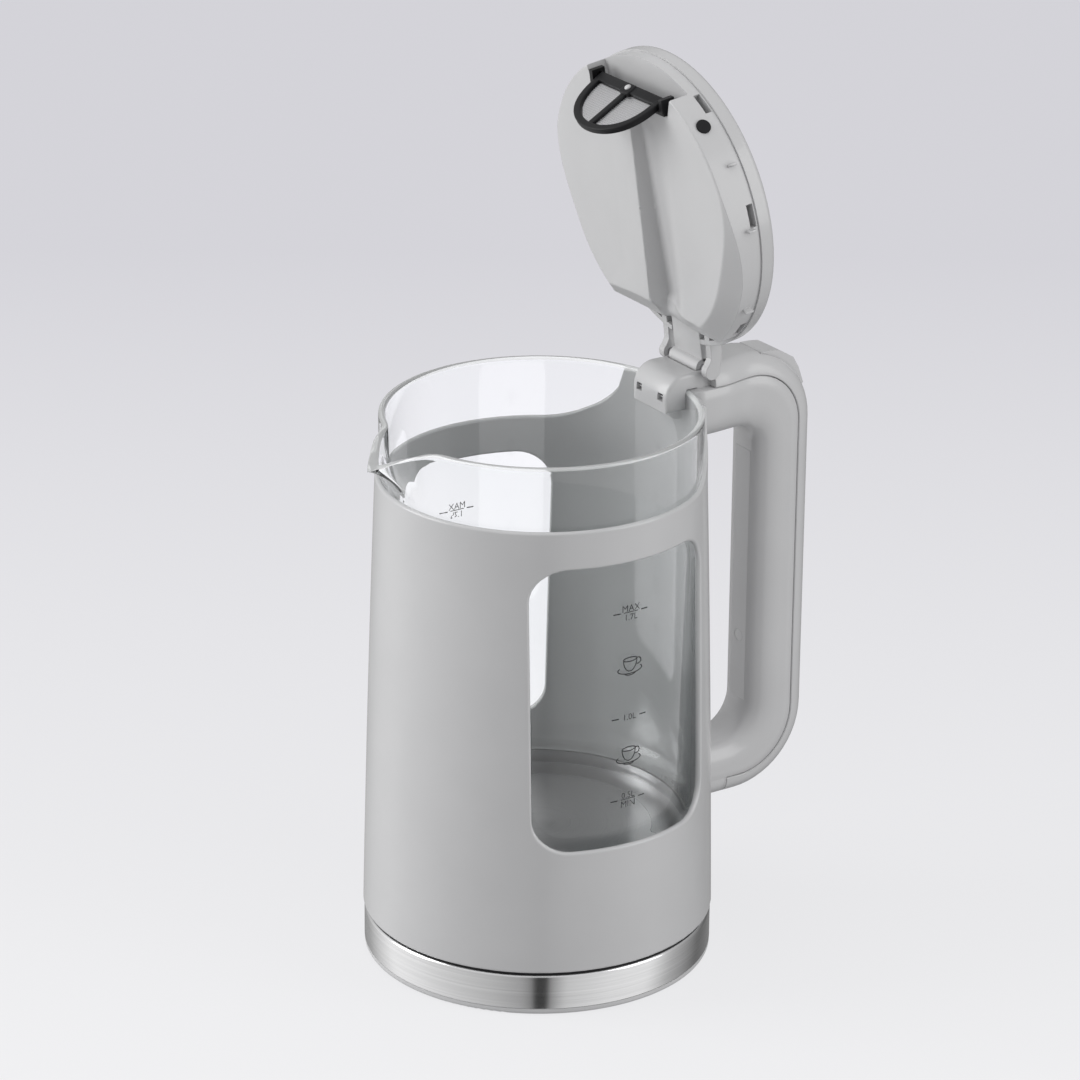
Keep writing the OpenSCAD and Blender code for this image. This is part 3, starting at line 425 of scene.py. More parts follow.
shell_bm = bmesh.new()
outline = window_outline()
for side in (-1, 1):
    rows = []
    for k in range(PATCH_RINGS + 1):
        share = (k / PATCH_RINGS) ** 1.3
        row = []
        for x, z in outline:
            angle, height = patch_edge(x, z)
            begin = acos(x / shell_radius(z))
            row.append(on_shell(shell_bm, begin + (angle - begin) * share,
                                z + (height - z) * share, side))
        rows.append(row)
    skin(shell_bm, rows, closed=True)

# The strips at the spout and behind the handle start from the patches' own heights.
edges = [patch_edge(x, z) for x, z in outline]
back_heights = {round(height, 7) for angle, height in edges if abs(angle - PATCH) < 1e-6}
front_heights = {round(height, 7) for angle, height in edges if abs(angle - (pi - PATCH)) < 1e-6}
for centre, heights in ((pi, front_heights), (0, back_heights)):
    at_side = SHELL_TOP if centre else shell_edge(PATCH)
    rows = []
    for i in range(STRIP_COLUMNS + 1):
        angle = centre - PATCH + 2 * PATCH * i / STRIP_COLUMNS
        edge = SHELL_TOP if centre else shell_edge(abs(angle))
        places = [SHELL_LOW + (z - SHELL_LOW) * (edge - SHELL_LOW) / (at_side - SHELL_LOW)
                  for z in sorted(heights)]
        rows.append([on_shell(shell_bm, angle, z) for z in places])
    skin(shell_bm, rows)
shell = finish_piece("outer_shell_moulding", shell_bm, "jug", "outer_shell", merge=0.00008)


def soften(piece, width, segments, sharp, harden=False):
    """Rounds the edges of a piece that are sharper than an angle in degrees."""
    bevel = piece.modifiers.new("soften", "BEVEL")
    bevel.width = width
    bevel.segments = segments
    bevel.limit_method = "ANGLE"
    bevel.angle_limit = radians(sharp)
    bevel.harden_normals = harden


wall = shell.modifiers.new("wall", "SOLIDIFY")
wall.thickness = SHELL_WALL
wall.offset = -1
wall.use_even_offset = True
soften(shell, 1.25 * MM, 4, 50, harden=True)


def moulded(name, colour, roughness, grain=0.05, edge=0.5, coat=0.0, shine=0.5):
    """Moulded plastic: faint mottle, fine grain, uneven gloss and softly broken edges."""
    finish, add, place = new_finish(name)
    cloud = add("ShaderNodeTexNoise",
                {"Vector": place, "Scale": 22.0, "Detail": 3.0}).outputs["Fac"]
    mottle = 0.02
    deep, pale = (tuple(c * (1 + step) for c in colour) for step in (-mottle, mottle))
    tint = ramp(add, cloud, [(0.35, deep), (0.65, pale)])
    gloss = add("ShaderNodeMapRange",
                {"Value": cloud, "To Min": roughness * 0.9, "To Max": roughness * 1.1})
    fine = add("ShaderNodeTexNoise",
               {"Vector": place, "Scale": 900.0, "Detail": 2.0}).outputs["Fac"]
    softened = add("ShaderNodeBevel", {"Radius": edge * MM}, samples=4).outputs["Normal"]
    bump = add("ShaderNodeBump",
               {"Height": fine, "Strength": grain, "Distance": 0.0003, "Normal": softened})
    body = add("ShaderNodeBsdfPrincipled",
               {"Base Color": tint, "Roughness": gloss.outputs["Result"], "IOR": 1.5,
                "Specular IOR Level": shine, "Coat Weight": coat, "Coat Roughness": 0.06,
                "Normal": bump.outputs["Normal"]})
    add("ShaderNodeOutputMaterial", {"Surface": body.outputs["BSDF"]})
    return finish


grey_gloss = moulded("grey_gloss", (0.50, 0.50, 0.505), 0.26, coat=0.25)
wear(shell, grey_gloss)

# ------------------------------------------------------------------ level marks
# Thin black print on the outside of the glass in both windows: plain level lines, litres and
# a small cup and saucer between them. It is screened on and fired.

INK_R = GLASS_R + 0.06 * MM
STROKE, FINE_STROKE, CUP_STROKE = 0.55 * MM, 0.4 * MM, 0.5 * MM
BIG, SMALL = 4.3 * MM, 4.0 * MM
FULL_LINE, LITRE_LINE, LEAST_LINE = 182.0 * MM, 133.4 * MM, 95.1 * MM
UPPER_CUP, LOWER_CUP = 156.6 * MM, 115.0 * MM
CUP_SCALE = 1.18
DASH_IN, DASH_OUT, RULE_HALF = 5.4 * MM, 8.6 * MM, 3.6 * MM


def ribbon(points, width=STROKE):
    """A flat ribbon along a line of (x, z) points, as faces of (x, z) corners."""
    quads = []
    for a, b in zip(points, points[1:]):
        along = Vector((b[0] - a[0], b[1] - a[1]))
        if along.length < 1e-9:
            continue
        across = Vector((-along.y, along.x)).normalized() * width / 2
        overlap = along.normalized() * width * 0.25
        start, stop = Vector(a) - overlap, Vector(b) + overlap
        quads.append([start + across, start - across, stop - across, stop + across])
    return quads


def words(text, size, height):
    """The faces of a line of plain figures, as (x, z) corners."""
    curve = bpy.data.curves.new("words", "FONT")
    curve.body = text
    curve.size = size
    curve.align_x = "CENTER"
    curve.resolution_u = 3
    shape = bpy.data.objects.new("words", curve)
    bpy.context.scene.collection.objects.link(shape)
    bpy.context.view_layer.update()
    evaluated = shape.evaluated_get(bpy.context.evaluated_depsgraph_get())
    mesh = bpy.data.meshes.new_from_object(evaluated)
    points = [(v.co.x, height + v.co.y) for v in mesh.vertices]
    faces = [[points[i] for i in p.vertices] for p in mesh.polygons]
    bpy.data.objects.remove(shape)
    bpy.data.meshes.remove(mesh)
    return faces


def cup(height):
    """A cup with a handle, on a saucer."""
    ovals = [(0, 3.0, 2.9, 0.8, 0, 360), (0, 3.0, 2.9, 4.6, 180, 360),
             (3.4, 1.9, 1.3, 1.2, -110, 110), (0, -0.9, 5.2, 1.6, 150, 390),
             (0, -2.4, 2.2, 0.7, 180, 360)]
    faces = []
    for *sizes, start, stop in ovals:
        x, z, wide, high = (CUP_SCALE * size * MM for size in sizes)
        turns = [radians(start + (stop - start) * i / 20) for i in range(21)]
        line = [(x + wide * cos(t), height + z + high * sin(t)) for t in turns]
        faces += ribbon(line, CUP_STROKE)
    return faces


def dashes(height):
    """A short dash each side of the figures."""
    return (ribbon([(-DASH_OUT, height), (-DASH_IN, height)])
            + ribbon([(DASH_IN, height), (DASH_OUT, height)]))


def rule(height):
    """A thin line between two rows of figures."""
    return ribbon([(-RULE_HALF, height), (RULE_HALF, height)], FINE_STROKE)


ink_faces = (words("MAX", BIG, 182.4 * MM) + words("1.7L", SMALL, 178.4 * MM)
             + rule(FULL_LINE) + dashes(FULL_LINE) + cup(UPPER_CUP)
             + words("1.0L", SMALL, 132.2 * MM) + dashes(LITRE_LINE) + cup(LOWER_CUP)
             + words("0.5L", SMALL, 95.6 * MM) + words("MIN", BIG, 91.4 * MM)
             + rule(LEAST_LINE) + dashes(LEAST_LINE))
marks_bm = bmesh.new()
for side in (-1, 1):
    for corners in ink_faces:
        marks_bm.faces.new([marks_bm.verts.new((-side * INK_R * sin(x / INK_R),
                                                side * INK_R * cos(x / INK_R), z))
                            for x, z in corners])
marks = finish_piece("level_marks", marks_bm, "jug", smooth=False, merge=1e-7)


def ink():
    """Black enamel print, a little uneven."""
    finish, add, place = new_finish("black_print")
    cloud = add("ShaderNodeTexNoise", {"Vector": place, "Scale": 300.0}).outputs["Fac"]
    tint = ramp(add, cloud, [(0.3, (0.008, 0.008, 0.009)), (0.8, (0.025, 0.025, 0.026))])
    body = add("ShaderNodeBsdfPrincipled", {"Base Color": tint, "Roughness": 0.45})
    add("ShaderNodeOutputMaterial", {"Surface": body.outputs["BSDF"]})
    return finish


wear(marks, ink())

# ------------------------------------------------------------------ foot
# A rolled band of brushed steel with a turned-in upper edge, a thin dark seal above it, and the
# grey bottom cover whose rounded rim shows below. The black chassis carries them all.

BAND_R, BAND_ROLL, BAND_EDGE = 76.9 * MM, 1.4 * MM, 0.3 * MM
BAND_LOW, BAND_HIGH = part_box("steel_base_band")[0].z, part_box("steel_base_band")[1].z

band_line = ([(BAND_R - BAND_ROLL, BAND_LOW), (BAND_R - BAND_EDGE, BAND_LOW)]
             + arc((BAND_R - BAND_EDGE, BAND_LOW + BAND_EDGE), BAND_EDGE, -90, 0, 4)[1:]
             + arc((BAND_R - BAND_ROLL, BAND_HIGH - BAND_ROLL), BAND_ROLL, 0, 90, 8)
             + [(BAND_R - BAND_ROLL, BAND_LOW)])
band = finish_piece("steel_band_rolled", spun(band_line, 160), "jug", "steel_base_band")
soften(band, 0.15 * MM, 2, 60)


def brushed(name, colour, roughness, anisotropy, turned_flat=False):
    """Stainless steel brushed round the axis, or turned in rings on a flat face."""
    finish, add, place = new_finish(name)
    if turned_flat:
        split = add("ShaderNodeSeparateXYZ", {"Vector": place}).outputs
        flat = add("ShaderNodeCombineXYZ", {"X": split["X"], "Y": split["Y"]}).outputs["Vector"]
        out = add("ShaderNodeVectorMath", {0: flat}, operation="LENGTH").outputs["Value"]
        line = add("ShaderNodeTexNoise", {"W": out, "Scale": 1800.0, "Detail": 2.0},
                   noise_dimensions="1D").outputs["Fac"]
    else:
        stretched = add("ShaderNodeVectorMath", {0: place, 1: (9.0, 9.0, 1500.0)},
                        operation="MULTIPLY").outputs["Vector"]
        line = add("ShaderNodeTexNoise",
                   {"Vector": stretched, "Scale": 1.0, "Detail": 3.0}).outputs["Fac"]
    deep, pale = (tuple(min(1, c * step) for c in colour) for step in (0.92, 1.06))
    tint = ramp(add, line, [(0.3, deep), (0.7, pale)])
    gloss = add("ShaderNodeMapRange",
                {"Value": line, "To Min": roughness * 0.8, "To Max": roughness * 1.25})
    bump = add("ShaderNodeBump", {"Height": line, "Strength": 0.06, "Distance": 0.0002})
    tangent = add("ShaderNodeTangent", direction_type="RADIAL", axis="Z").outputs["Tangent"]
    body = add("ShaderNodeBsdfPrincipled",
               {"Base Color": tint, "Metallic": 1.0, "Anisotropic": anisotropy,
                "Anisotropic Rotation": 0.25, "Roughness": gloss.outputs["Result"],
                "Normal": bump.outputs["Normal"], "Tangent": tangent})
    add("ShaderNodeOutputMaterial", {"Surface": body.outputs["BSDF"]})
    return finish


wear(band, brushed("base_steel", (0.70, 0.70, 0.705), 0.18, 0.9))
black_rubber = moulded("black_rubber", (0.01, 0.01, 0.011), 0.6, grain=0.1, edge=0.3, shine=0.2)
wear(cad["gap_seal"], black_rubber)
pale_satin = moulded("pale_satin", (0.52, 0.52, 0.525), 0.34, coat=0.1)
wear(cad["bottom_cover"], pale_satin)
black_plastic = moulded("black_plastic", (0.008, 0.008, 0.009), 0.42, grain=0.12, edge=0.35,
                        shine=0.22)
wear(cad["base_chassis"], black_plastic)

# ------------------------------------------------------------------ heater and control
# The jug's floor is a turned steel plate with an upturned rim, pulled down on a white silicone
# seal by a ring, studs and nuts. The spreader, element, bimetal discs and control sit under it.

wear(cad["heater_plate"], brushed("plate_steel", (0.46, 0.46, 0.465), 0.30, 0.5, turned_flat=True))
wear(cad["plate_seal"], moulded("silicone", (0.62, 0.62, 0.60), 0.5, grain=0.08, edge=0.2))


def plain_metal(name, colour, roughness, scale=60.0):
    """Plain metal with a slight cloud of tarnish and fine scuffs."""
    finish, add, place = new_finish(name)
    cloud = add("ShaderNodeTexNoise",
                {"Vector": place, "Scale": scale, "Detail": 4.0}).outputs["Fac"]
    tint = ramp(add, cloud, [(0.3, tuple(c * 0.85 for c in colour)), (0.7, colour)])
    gloss = add("ShaderNodeMapRange",
                {"Value": cloud, "To Min": roughness * 0.75, "To Max": roughness * 1.3})
    bump = add("ShaderNodeBump", {"Height": cloud, "Strength": 0.1, "Distance": 0.0002})
    body = add("ShaderNodeBsdfPrincipled",
               {"Base Color": tint, "Metallic": 1.0, "Roughness": gloss.outputs["Result"],
                "Normal": bump.outputs["Normal"]})
    add("ShaderNodeOutputMaterial", {"Surface": body.outputs["BSDF"]})
    return finish


screw_steel = plain_metal("screw_steel", (0.62, 0.62, 0.63), 0.3)
for name in ("element_terminals", "clamp_ring", "plate_studs", "stud_nuts"):
    wear(cad[name], screw_steel)
wear(cad["heat_spreader"], plain_metal("aluminium", (0.78, 0.78, 0.79), 0.35))
wear(cad["heating_element"], plain_metal("element_sheath", (0.32, 0.33, 0.34), 0.5, 120.0))
bimetal = plain_metal("bimetal", (0.62, 0.50, 0.32), 0.34)
wear(cad["dry_boil_discs"], bimetal)
white_moulding = moulded("white_moulding", (0.66, 0.65, 0.60), 0.5, grain=0.12)
wear(cad["control_housing"], white_moulding)

# ------------------------------------------------------------------ connector
# The round connector turns freely on its base. A black moulding holds two brass rings and the
# brass earth contact in its middle. Three screws hold the cover round it.

wear(cad["connector_inlet"], black_plastic)
brass = plain_metal("brass", (0.72, 0.52, 0.22), 0.28)
for name in ("outer_contact_ring", "inner_contact_ring", "earth_contact"):
    wear(cad[name], brass)
wear(cad["cover_screws"], screw_steel)

# ------------------------------------------------------------------ handle body
# The half of the handle round the fingers, moulded in one piece with its arms and foot. It is
# waisted towards a narrow inner strip, and both its ends are scribed to the shell.

SEAM_TOP, SEAM_OUT, SEAM_FOOT = 250.5 * MM, 126.5 * MM, 60.5 * MM
FINGER_IN, FINGER_TOP, FINGER_FOOT = 107 * MM, 226 * MM, 76.5 * MM
# Bends in side view, in millimetres: centre x, centre z, radius.
TOP_BEND, FOOT_BEND = (101.5, 225.5, 25), (98.5, 88.5, 28)
FINGER_TOP_BEND, FINGER_FOOT_BEND = (98, 217, 9), (90, 93.5, 17)
ARM_START, FOOT_END = 70, 75
HALF_WIDE, HALF_HINGE, HALF_INSIDE = 14 * MM, 17.5 * MM, 5.5 * MM
FLARE_FROM, FLARE_TO, FLARE_ABOVE = -103 * MM, -82 * MM, 200 * MM
WAIST_DEPTH, WAIST_SHARE, SEAM_EDGE = 13 * MM, 0.62, 0.35 * MM
SCRIBE_DEPTH = 1.2 * MM
FOOT_LOFT_FROM, FOOT_LOFT_TO = 92.2, 76
SPINE_THICK, EDGE_R = 9 * MM, 8.4 * MM
ARM_STEPS, GRIP_STEPS, BEND_STEPS, FOOT_STEPS = 8, 12, 12, 6


def half_width(x, z):
    """Half the handle's width: it flares where the upper arm meets the hinge."""
    if z < FLARE_ABOVE:
        return HALF_WIDE
    return HALF_WIDE + (HALF_HINGE - HALF_WIDE) * smoothstep(FLARE_FROM, FLARE_TO, -x)


def body_half(whole, wide):
    """Half profile of the handle's body from the seam inwards: (depth from the fingers, y)."""
    waist = min(WAIST_DEPTH, whole * WAIST_SHARE)
    side = [(whole, wide - SEAM_EDGE), (whole - SEAM_EDGE, wide), ((whole + waist) / 2, wide)]
    for a in (pi / 2 * i / 8 for i in range(9)):
        side.append((waist * (1 - sin(a)), HALF_INSIDE + (wide - HALF_INSIDE) * cos(a) ** 0.9))
    return side + [(0, 0)]


def scribe(ring):
    """Fits the end of an arm to the middle of the shell's wall."""
    for v in ring:
        reach = shell_radius(min(v.co.z, SHELL_TOP)) - SCRIBE_DEPTH
        v.co.x = sqrt(max(reach ** 2 - v.co.y ** 2, 0))


def bend_points(bend, start, stop, count=BEND_STEPS):
    """Points round one of the bends, between two angles in degrees."""
    return arc((bend[0] * MM, bend[1] * MM), bend[2] * MM, start, stop, count)


def between(start, stop, i, count):
    """The place of step i of count between two places in millimetres."""
    return start * MM + (stop - start) * MM * i / count


def ladder():
    """Pairs of points down the handle in side view: on the finger opening, and on the seam."""
    pairs = [((between(ARM_START, FINGER_TOP_BEND[0], i, ARM_STEPS), FINGER_TOP),
              (between(ARM_START, TOP_BEND[0], i, ARM_STEPS), SEAM_TOP))
             for i in range(ARM_STEPS + 1)]
    pairs += list(zip(bend_points(FINGER_TOP_BEND, 90, 0), bend_points(TOP_BEND, 90, 0)))[1:]
    pairs += [((FINGER_IN, between(FINGER_TOP_BEND[1], FINGER_FOOT_BEND[1], i, GRIP_STEPS)),
               (SEAM_OUT, between(TOP_BEND[1], FOOT_BEND[1], i, GRIP_STEPS)))
              for i in range(1, GRIP_STEPS + 1)]
    pairs += list(zip(bend_points(FINGER_FOOT_BEND, 0, -90), bend_points(FOOT_BEND, 0, -90)))[1:]
    pairs += [((between(FINGER_FOOT_BEND[0], FOOT_END, i, FOOT_STEPS), FINGER_FOOT),
               (between(FOOT_BEND[0], FOOT_END, i, FOOT_STEPS), SEAM_FOOT))
              for i in range(1, FOOT_STEPS + 1)]
    return pairs


def rounded_back(first, wide):
    """A ring of (depth from the seam, y) across the handle's back, with a round edge each side."""
    side = first + [(SPINE_THICK - EDGE_R + EDGE_R * sin(pi / 2 * i / 8),
                     wide - EDGE_R + EDGE_R * cos(pi / 2 * i / 8)) for i in range(1, 9)]
    return side + [(SPINE_THICK, 0)] + [(d, -y) for d, y in reversed(side)]


def loft(bm, rings):
    """Skins a row of rings and closes its two ends."""
    skin(bm, rings, closed=True)
    bm.faces.new(rings[0])
    bm.faces.new(rings[-1])


body_bm = bmesh.new()
rings = []
for low, high in ladder():
    low, high = Vector(low), Vector(high)
    whole = (high - low).length
    out = (high - low) / whole
    side = body_half(whole, half_width(high.x, high.y))
    ring = side + [(d, -y) for d, y in reversed(side[:-1])]
    places = [(low + out * d, y) for d, y in ring]
    rings.append([body_bm.verts.new((p.x, y, p.y)) for p, y in places])
scribe(rings[0])
scribe(rings[-1])
loft(body_bm, rings)
foot_rings = []
for i in range(FOOT_STEPS + 1):
    x = between(FOOT_LOFT_FROM, FOOT_LOFT_TO, i, FOOT_STEPS)
    ring = rounded_back([(-3 * MM, 13.2 * MM), (0, HALF_WIDE)], HALF_WIDE)
    foot_rings.append([body_bm.verts.new((x, y, SEAM_FOOT - d)) for d, y in ring])
scribe(foot_rings[-1])
loft(body_bm, foot_rings)
handle = finish_piece("handle_body_moulding", body_bm, "jug", "handle_body")
wear(handle, grey_gloss)
wear(cad["handle_grip_strip"], pale_satin)

# ------------------------------------------------------------------ handle spine cover
# The back half of the handle, with a fully rounded outer edge, snapped on along a fine seam.
# The release button sits in its top corner and the power rocker half way down.

COVER_START, COVER_END = 79, 92.5 * MM
BACK_STEPS = 14
# Openings in millimetres, low and high corner: the button's is turned to the corner's slope.
BUTTON_OPENING = ((-13.9, -8.4, 25.2), (16.4, 8.4, 50))
BUTTON_SLOPE = radians(36.87)
SWITCH_OPENING = ((131.5, -6.2, 144.7), (140, 6.2, 175.3))

# Each step down the seam in side view is a point x, z and the direction outward from it.
spine = [(between(COVER_START, TOP_BEND[0], i, ARM_STEPS), SEAM_TOP, 0, 1)
         for i in range(ARM_STEPS + 1)]


def spine_bend(bend, start):
    """The steps round one of the seam's bends, without the first."""
    points = bend_points(bend, start, start - 90, BACK_STEPS)
    angles = [radians(start - 90 * i / BACK_STEPS) for i in range(BACK_STEPS + 1)]
    return [(x, z, cos(a), sin(a)) for (x, z), a in zip(points, angles)][1:]


spine += spine_bend(TOP_BEND, 90)
spine += [(SEAM_OUT, between(TOP_BEND[1], FOOT_BEND[1], i, GRIP_STEPS), 1, 0)
          for i in range(1, GRIP_STEPS + 1)]
spine += spine_bend(FOOT_BEND, 0) + [(COVER_END, SEAM_FOOT, 0, -1)]
cover_bm = bmesh.new()
rings = []
for x, z, out_x, out_z in spine:
    wide = half_width(x, z)
    ring = rounded_back([(0.3 * MM, wide - SEAM_EDGE), (0.65 * MM, wide)], wide)
    rings.append([cover_bm.verts.new((x + out_x * d, y, z + out_z * d)) for d, y in ring])
loft(cover_bm, rings)
cover = finish_piece("handle_spine_moulding", cover_bm, "jug", "handle_spine_cover")


def cut_away(piece, *cutters):
    """Takes the space of each bmesh cutter out of a piece, and leaves plain geometry behind."""
    tools = []
    for bm in cutters:
        bmesh.ops.recalc_face_normals(bm, faces=bm.faces)
        mesh = bpy.data.meshes.new("cutter")
        bm.to_mesh(mesh)
        bm.free()
        tool = bpy.data.objects.new("cutter", mesh)
        bpy.context.scene.collection.objects.link(tool)
        tools.append(tool)
        cut = piece.modifiers.new("cut", "BOOLEAN")
        cut.operation = "DIFFERENCE"
        cut.solver = "EXACT"
        cut.object = tool
    bpy.context.view_layer.update()
    evaluated = piece.evaluated_get(bpy.context.evaluated_depsgraph_get())
    done = bpy.data.meshes.new_from_object(evaluated)
    done.name = piece.name
    piece.modifiers.clear()
    piece.data = done
    for tool in tools:
        bpy.data.objects.remove(tool)
    done.set_sharp_from_angle(angle=radians(38))


def box_bm(low, high, turn=None):
    """A box between two corners in millimetres, turned by a matrix."""
    bm = bmesh.new()
    bmesh.ops.create_cube(bm, size=1)
    size = Vector(high) - Vector(low)
    middle = (Vector(high) + Vector(low)) / 2
    bmesh.ops.scale(bm, vec=size * MM, verts=bm.verts)
    bmesh.ops.translate(bm, vec=middle * MM, verts=bm.verts)
    if turn:
        bmesh.ops.transform(bm, matrix=turn, verts=bm.verts)
    return bm


corner = (Matrix.Translation((TOP_BEND[0] * MM, 0, TOP_BEND[1] * MM))
          @ Matrix.Rotation(BUTTON_SLOPE, 4, "Y"))
cut_away(cover, box_bm(*BUTTON_OPENING, corner), box_bm(*SWITCH_OPENING))
wear(cover, grey_gloss)
wear(cad["release_button"], pale_satin)
wear(cad["power_switch"], pale_satin)

# ------------------------------------------------------------------ inside the handle
# A white tube leads steam down to the cut-out, which clicks over on its bimetal disc and is
# wired to the control. A steel slider and springs pass the button's push on to the hinge.

for name in ("steam_tube", "steam_switch"):
    wear(cad[name], white_moulding)
wear(cad["steam_disc"], bimetal)
wear(cad["switch_wires"], moulded("wire_sleeve", (0.40, 0.04, 0.03), 0.45, grain=0.08, edge=0.1))
spring_steel = plain_metal("spring_steel", (0.5, 0.5, 0.51), 0.3, 200.0)
for name in ("lid_springs", "button_spring"):
    wear(cad[name], spring_steel)
for name in ("handle_screws", "hinge_pin", "release_slider"):
    wear(cad[name], screw_steel)

# ------------------------------------------------------------------ steam hood
# A hollow block, moulded with the spine cover, that hooks over the glass rim and carries the
# hinge. It takes the steam in through two slots, each with a thin bar across it.

HINGE = Vector((76.8, 0, 258.7)) * MM
HOOD_HALF = 13 * MM
# Side view in millimetres: the front's round shoulder comes after these corners.
HOOD_FRONT, HOOD_SHOULDER, HOOD_R = 56, 248.4, 9.5
HOOD_CORNERS = [(HOOD_FRONT, 241.5), (66.4, 241.5), (66.4, 251.0), (72.0, 251.0), (72.0, 249.6),
                (84.5, 249.6), (84.5, 257.9)]
GROOVE_FROM, GROOVE_TO, GROOVE_ROOF = 66 * MM, 83 * MM, 252 * MM
HINGE_ROOM_R, HINGE_ROOM_HALF = 4.6 * MM, 10.7 * MM
SLOT_PLACES = (-8.0, 8.0)


def extruded(points, push):
    """A bmesh of a flat outline, pushed out along a vector."""
    bm = bmesh.new()
    face = bm.faces.new([bm.verts.new(point) for point in points])
    moved = bmesh.ops.extrude_face_region(bm, geom=[face])["geom"]
    bmesh.ops.translate(bm, vec=push, verts=[v for v in moved if isinstance(v, bmesh.types.BMVert)])
    return bm


def in_groove(edge):
    """Tells whether an edge lies in the groove over the glass rim, which stays sharp."""
    middle = (edge.verts[0].co + edge.verts[1].co) / 2
    return GROOVE_FROM < middle.x < GROOVE_TO and middle.z < GROOVE_ROOF


def bar_bm(radius, half, segments):
    """A round bar along the hinge's axis."""
    bm = bmesh.new()
    bmesh.ops.create_cone(bm, cap_ends=True, segments=segments, radius1=radius, radius2=radius,
                          depth=2 * half)
    bmesh.ops.rotate(bm, cent=(0, 0, 0), matrix=Matrix.Rotation(pi / 2, 3, "X"), verts=bm.verts)
    bmesh.ops.translate(bm, vec=HINGE, verts=bm.verts)
    bmesh.ops.recalc_face_normals(bm, faces=bm.faces)
    return bm


def join(bm, extra):
    """Moves the faces of another bmesh into this one."""
    mesh = bpy.data.meshes.new("extra")
    extra.to_mesh(mesh)
    extra.free()
    bm.from_mesh(mesh)
    bpy.data.meshes.remove(mesh)


shoulder = arc((HOOD_FRONT + HOOD_R, HOOD_SHOULDER), HOOD_R, 90, 180, 10)
hood_bm = extruded([(x * MM, -HOOD_HALF, z * MM) for x, z in HOOD_CORNERS + shoulder],
                   (0, 2 * HOOD_HALF, 0))
side_edges = [e for e in hood_bm.edges if abs(e.verts[0].co.y - e.verts[1].co.y) < 1e-6
              and not in_groove(e)]
bmesh.ops.bevel(hood_bm, geom=side_edges, offset=1.6 * MM, segments=4, profile=0.5,
                affect="EDGES", material=-1)
hood = finish_piece("steam_hood", hood_bm, "jug", "handle_spine_cover")
slots = [box_bm((50, y - 1.9, 246.4), (64, y + 1.9, 249.8)) for y in SLOT_PLACES]
cut_away(hood, *slots, bar_bm(HINGE_ROOM_R, HINGE_ROOM_HALF, 40))
grille = bmesh.new()
grille.from_mesh(hood.data)
for y in SLOT_PLACES:
    join(grille, box_bm((57.2, y - 2.0, 247.85), (58.0, y + 2.0, 248.35)))
grille.to_mesh(hood.data)
grille.free()
wear(hood, grey_gloss)

# ------------------------------------------------------------------ lid
# The lid stands open on its hinge. A domed grey cap carries a paler liner: a deep plug with two
# softly dished pans, a steam channel between them, and a pocket at the front for the filter.

LID_TURN = (Matrix.Translation(HINGE) @ Matrix.Rotation(radians(81.5), 4, "Y")
            @ Matrix.Translation(-HINGE))
PLUG_R, PLUG_Z, LIP_Z = 65.8 * MM, 243.5 * MM, 258.5 * MM
LEDGE_X = 52.5 * MM
EDGE_GAP = 0.5 * MM
COLUMNS, SPANS = 360, 72
# The channel starts behind the pocket, is full a little further on, and fades at the hinge end.
CHANNEL_START, CHANNEL_FULL = -50 * MM, -36 * MM
CHANNEL_FADES, CHANNEL_END = 40 * MM, 51 * MM
RIDGE_HIGH, RIDGE_Y, RIDGE_WIDE = 0.7 * MM, 3 * MM, 7 * MM
BEVEL_WIDE, BEVEL_SLOPE = 8.5 * MM, 0.65
DISH_DEEP = 0.9 * MM

wear(cad["lid_cover"], grey_gloss)
wear(cad["lid_pads"], black_rubber)


def plug_edge(around):
    """Radius of the plug's outline at an angle from the hinge, where it is cut straight."""
    run = cos(around)
    return min(PLUG_R, LEDGE_X / run) if run > 0 else PLUG_R


def pan_depth(x, y, edge_gap, around):
    """How deep the plug's face lies under its highest plane."""
    fade = (smoothstep(CHANNEL_START, CHANNEL_FULL, x)
            * (1 - 0.75 * smoothstep(CHANNEL_FADES, CHANNEL_END, x)))
    deep = (4.2 + 4.4 * (x + 42 * MM) / (92 * MM)) * MM * fade
    steep = 1 - smoothstep(-1.6 * MM, 1.2 * MM, y)
    gentle = 1 - smoothstep(2.0 * MM, 24 * MM, -y)
    ridge = -RIDGE_HIGH * fade * 2.718 ** (-((y - RIDGE_Y) / RIDGE_WIDE) ** 2)
    reach = smoothstep(-0.45, 0.35, cos(around)) * BEVEL_WIDE
    bevel = max(0, 1 - edge_gap / reach) * BEVEL_SLOPE * reach if reach > 0.05 * MM else 0
    dish = DISH_DEEP * smoothstep(0, 26 * MM, edge_gap) * smoothstep(8 * MM, 22 * MM, abs(y))
    return max(deep * steep * gentle, 0) + ridge + bevel + dish


angles = [2 * pi * i / COLUMNS for i in range(COLUMNS)]
ledge_corner = acos(LEDGE_X / PLUG_R)
for target in (ledge_corner, 2 * pi - ledge_corner):
    nearest = min(range(COLUMNS), key=lambda i: abs(angles[i] - target))
    angles[nearest] = target
liner_bm = bmesh.new()
rows = []
for k in range(1, SPANS + 1):
    share = 1 - (1 - k / SPANS) ** 1.35
    row = []
    for a in angles:
        edge = plug_edge(a) - EDGE_GAP
        r = edge * share
        x, y = r * cos(a), r * sin(a)
        row.append(liner_bm.verts.new((x, y, PLUG_Z + pan_depth(x, y, edge - r, a))))
    rows.append(row)
hub = liner_bm.verts.new((0, 0, PLUG_Z + pan_depth(0, 0, PLUG_R, 0)))
for i in range(COLUMNS):
    liner_bm.faces.new((rows[0][i], rows[0][(i + 1) % COLUMNS], hub))
wall_line = [(plug_edge(a) * cos(a), plug_edge(a) * sin(a)) for a in angles]
face_edge = [v.co.z for v in rows[-1]]
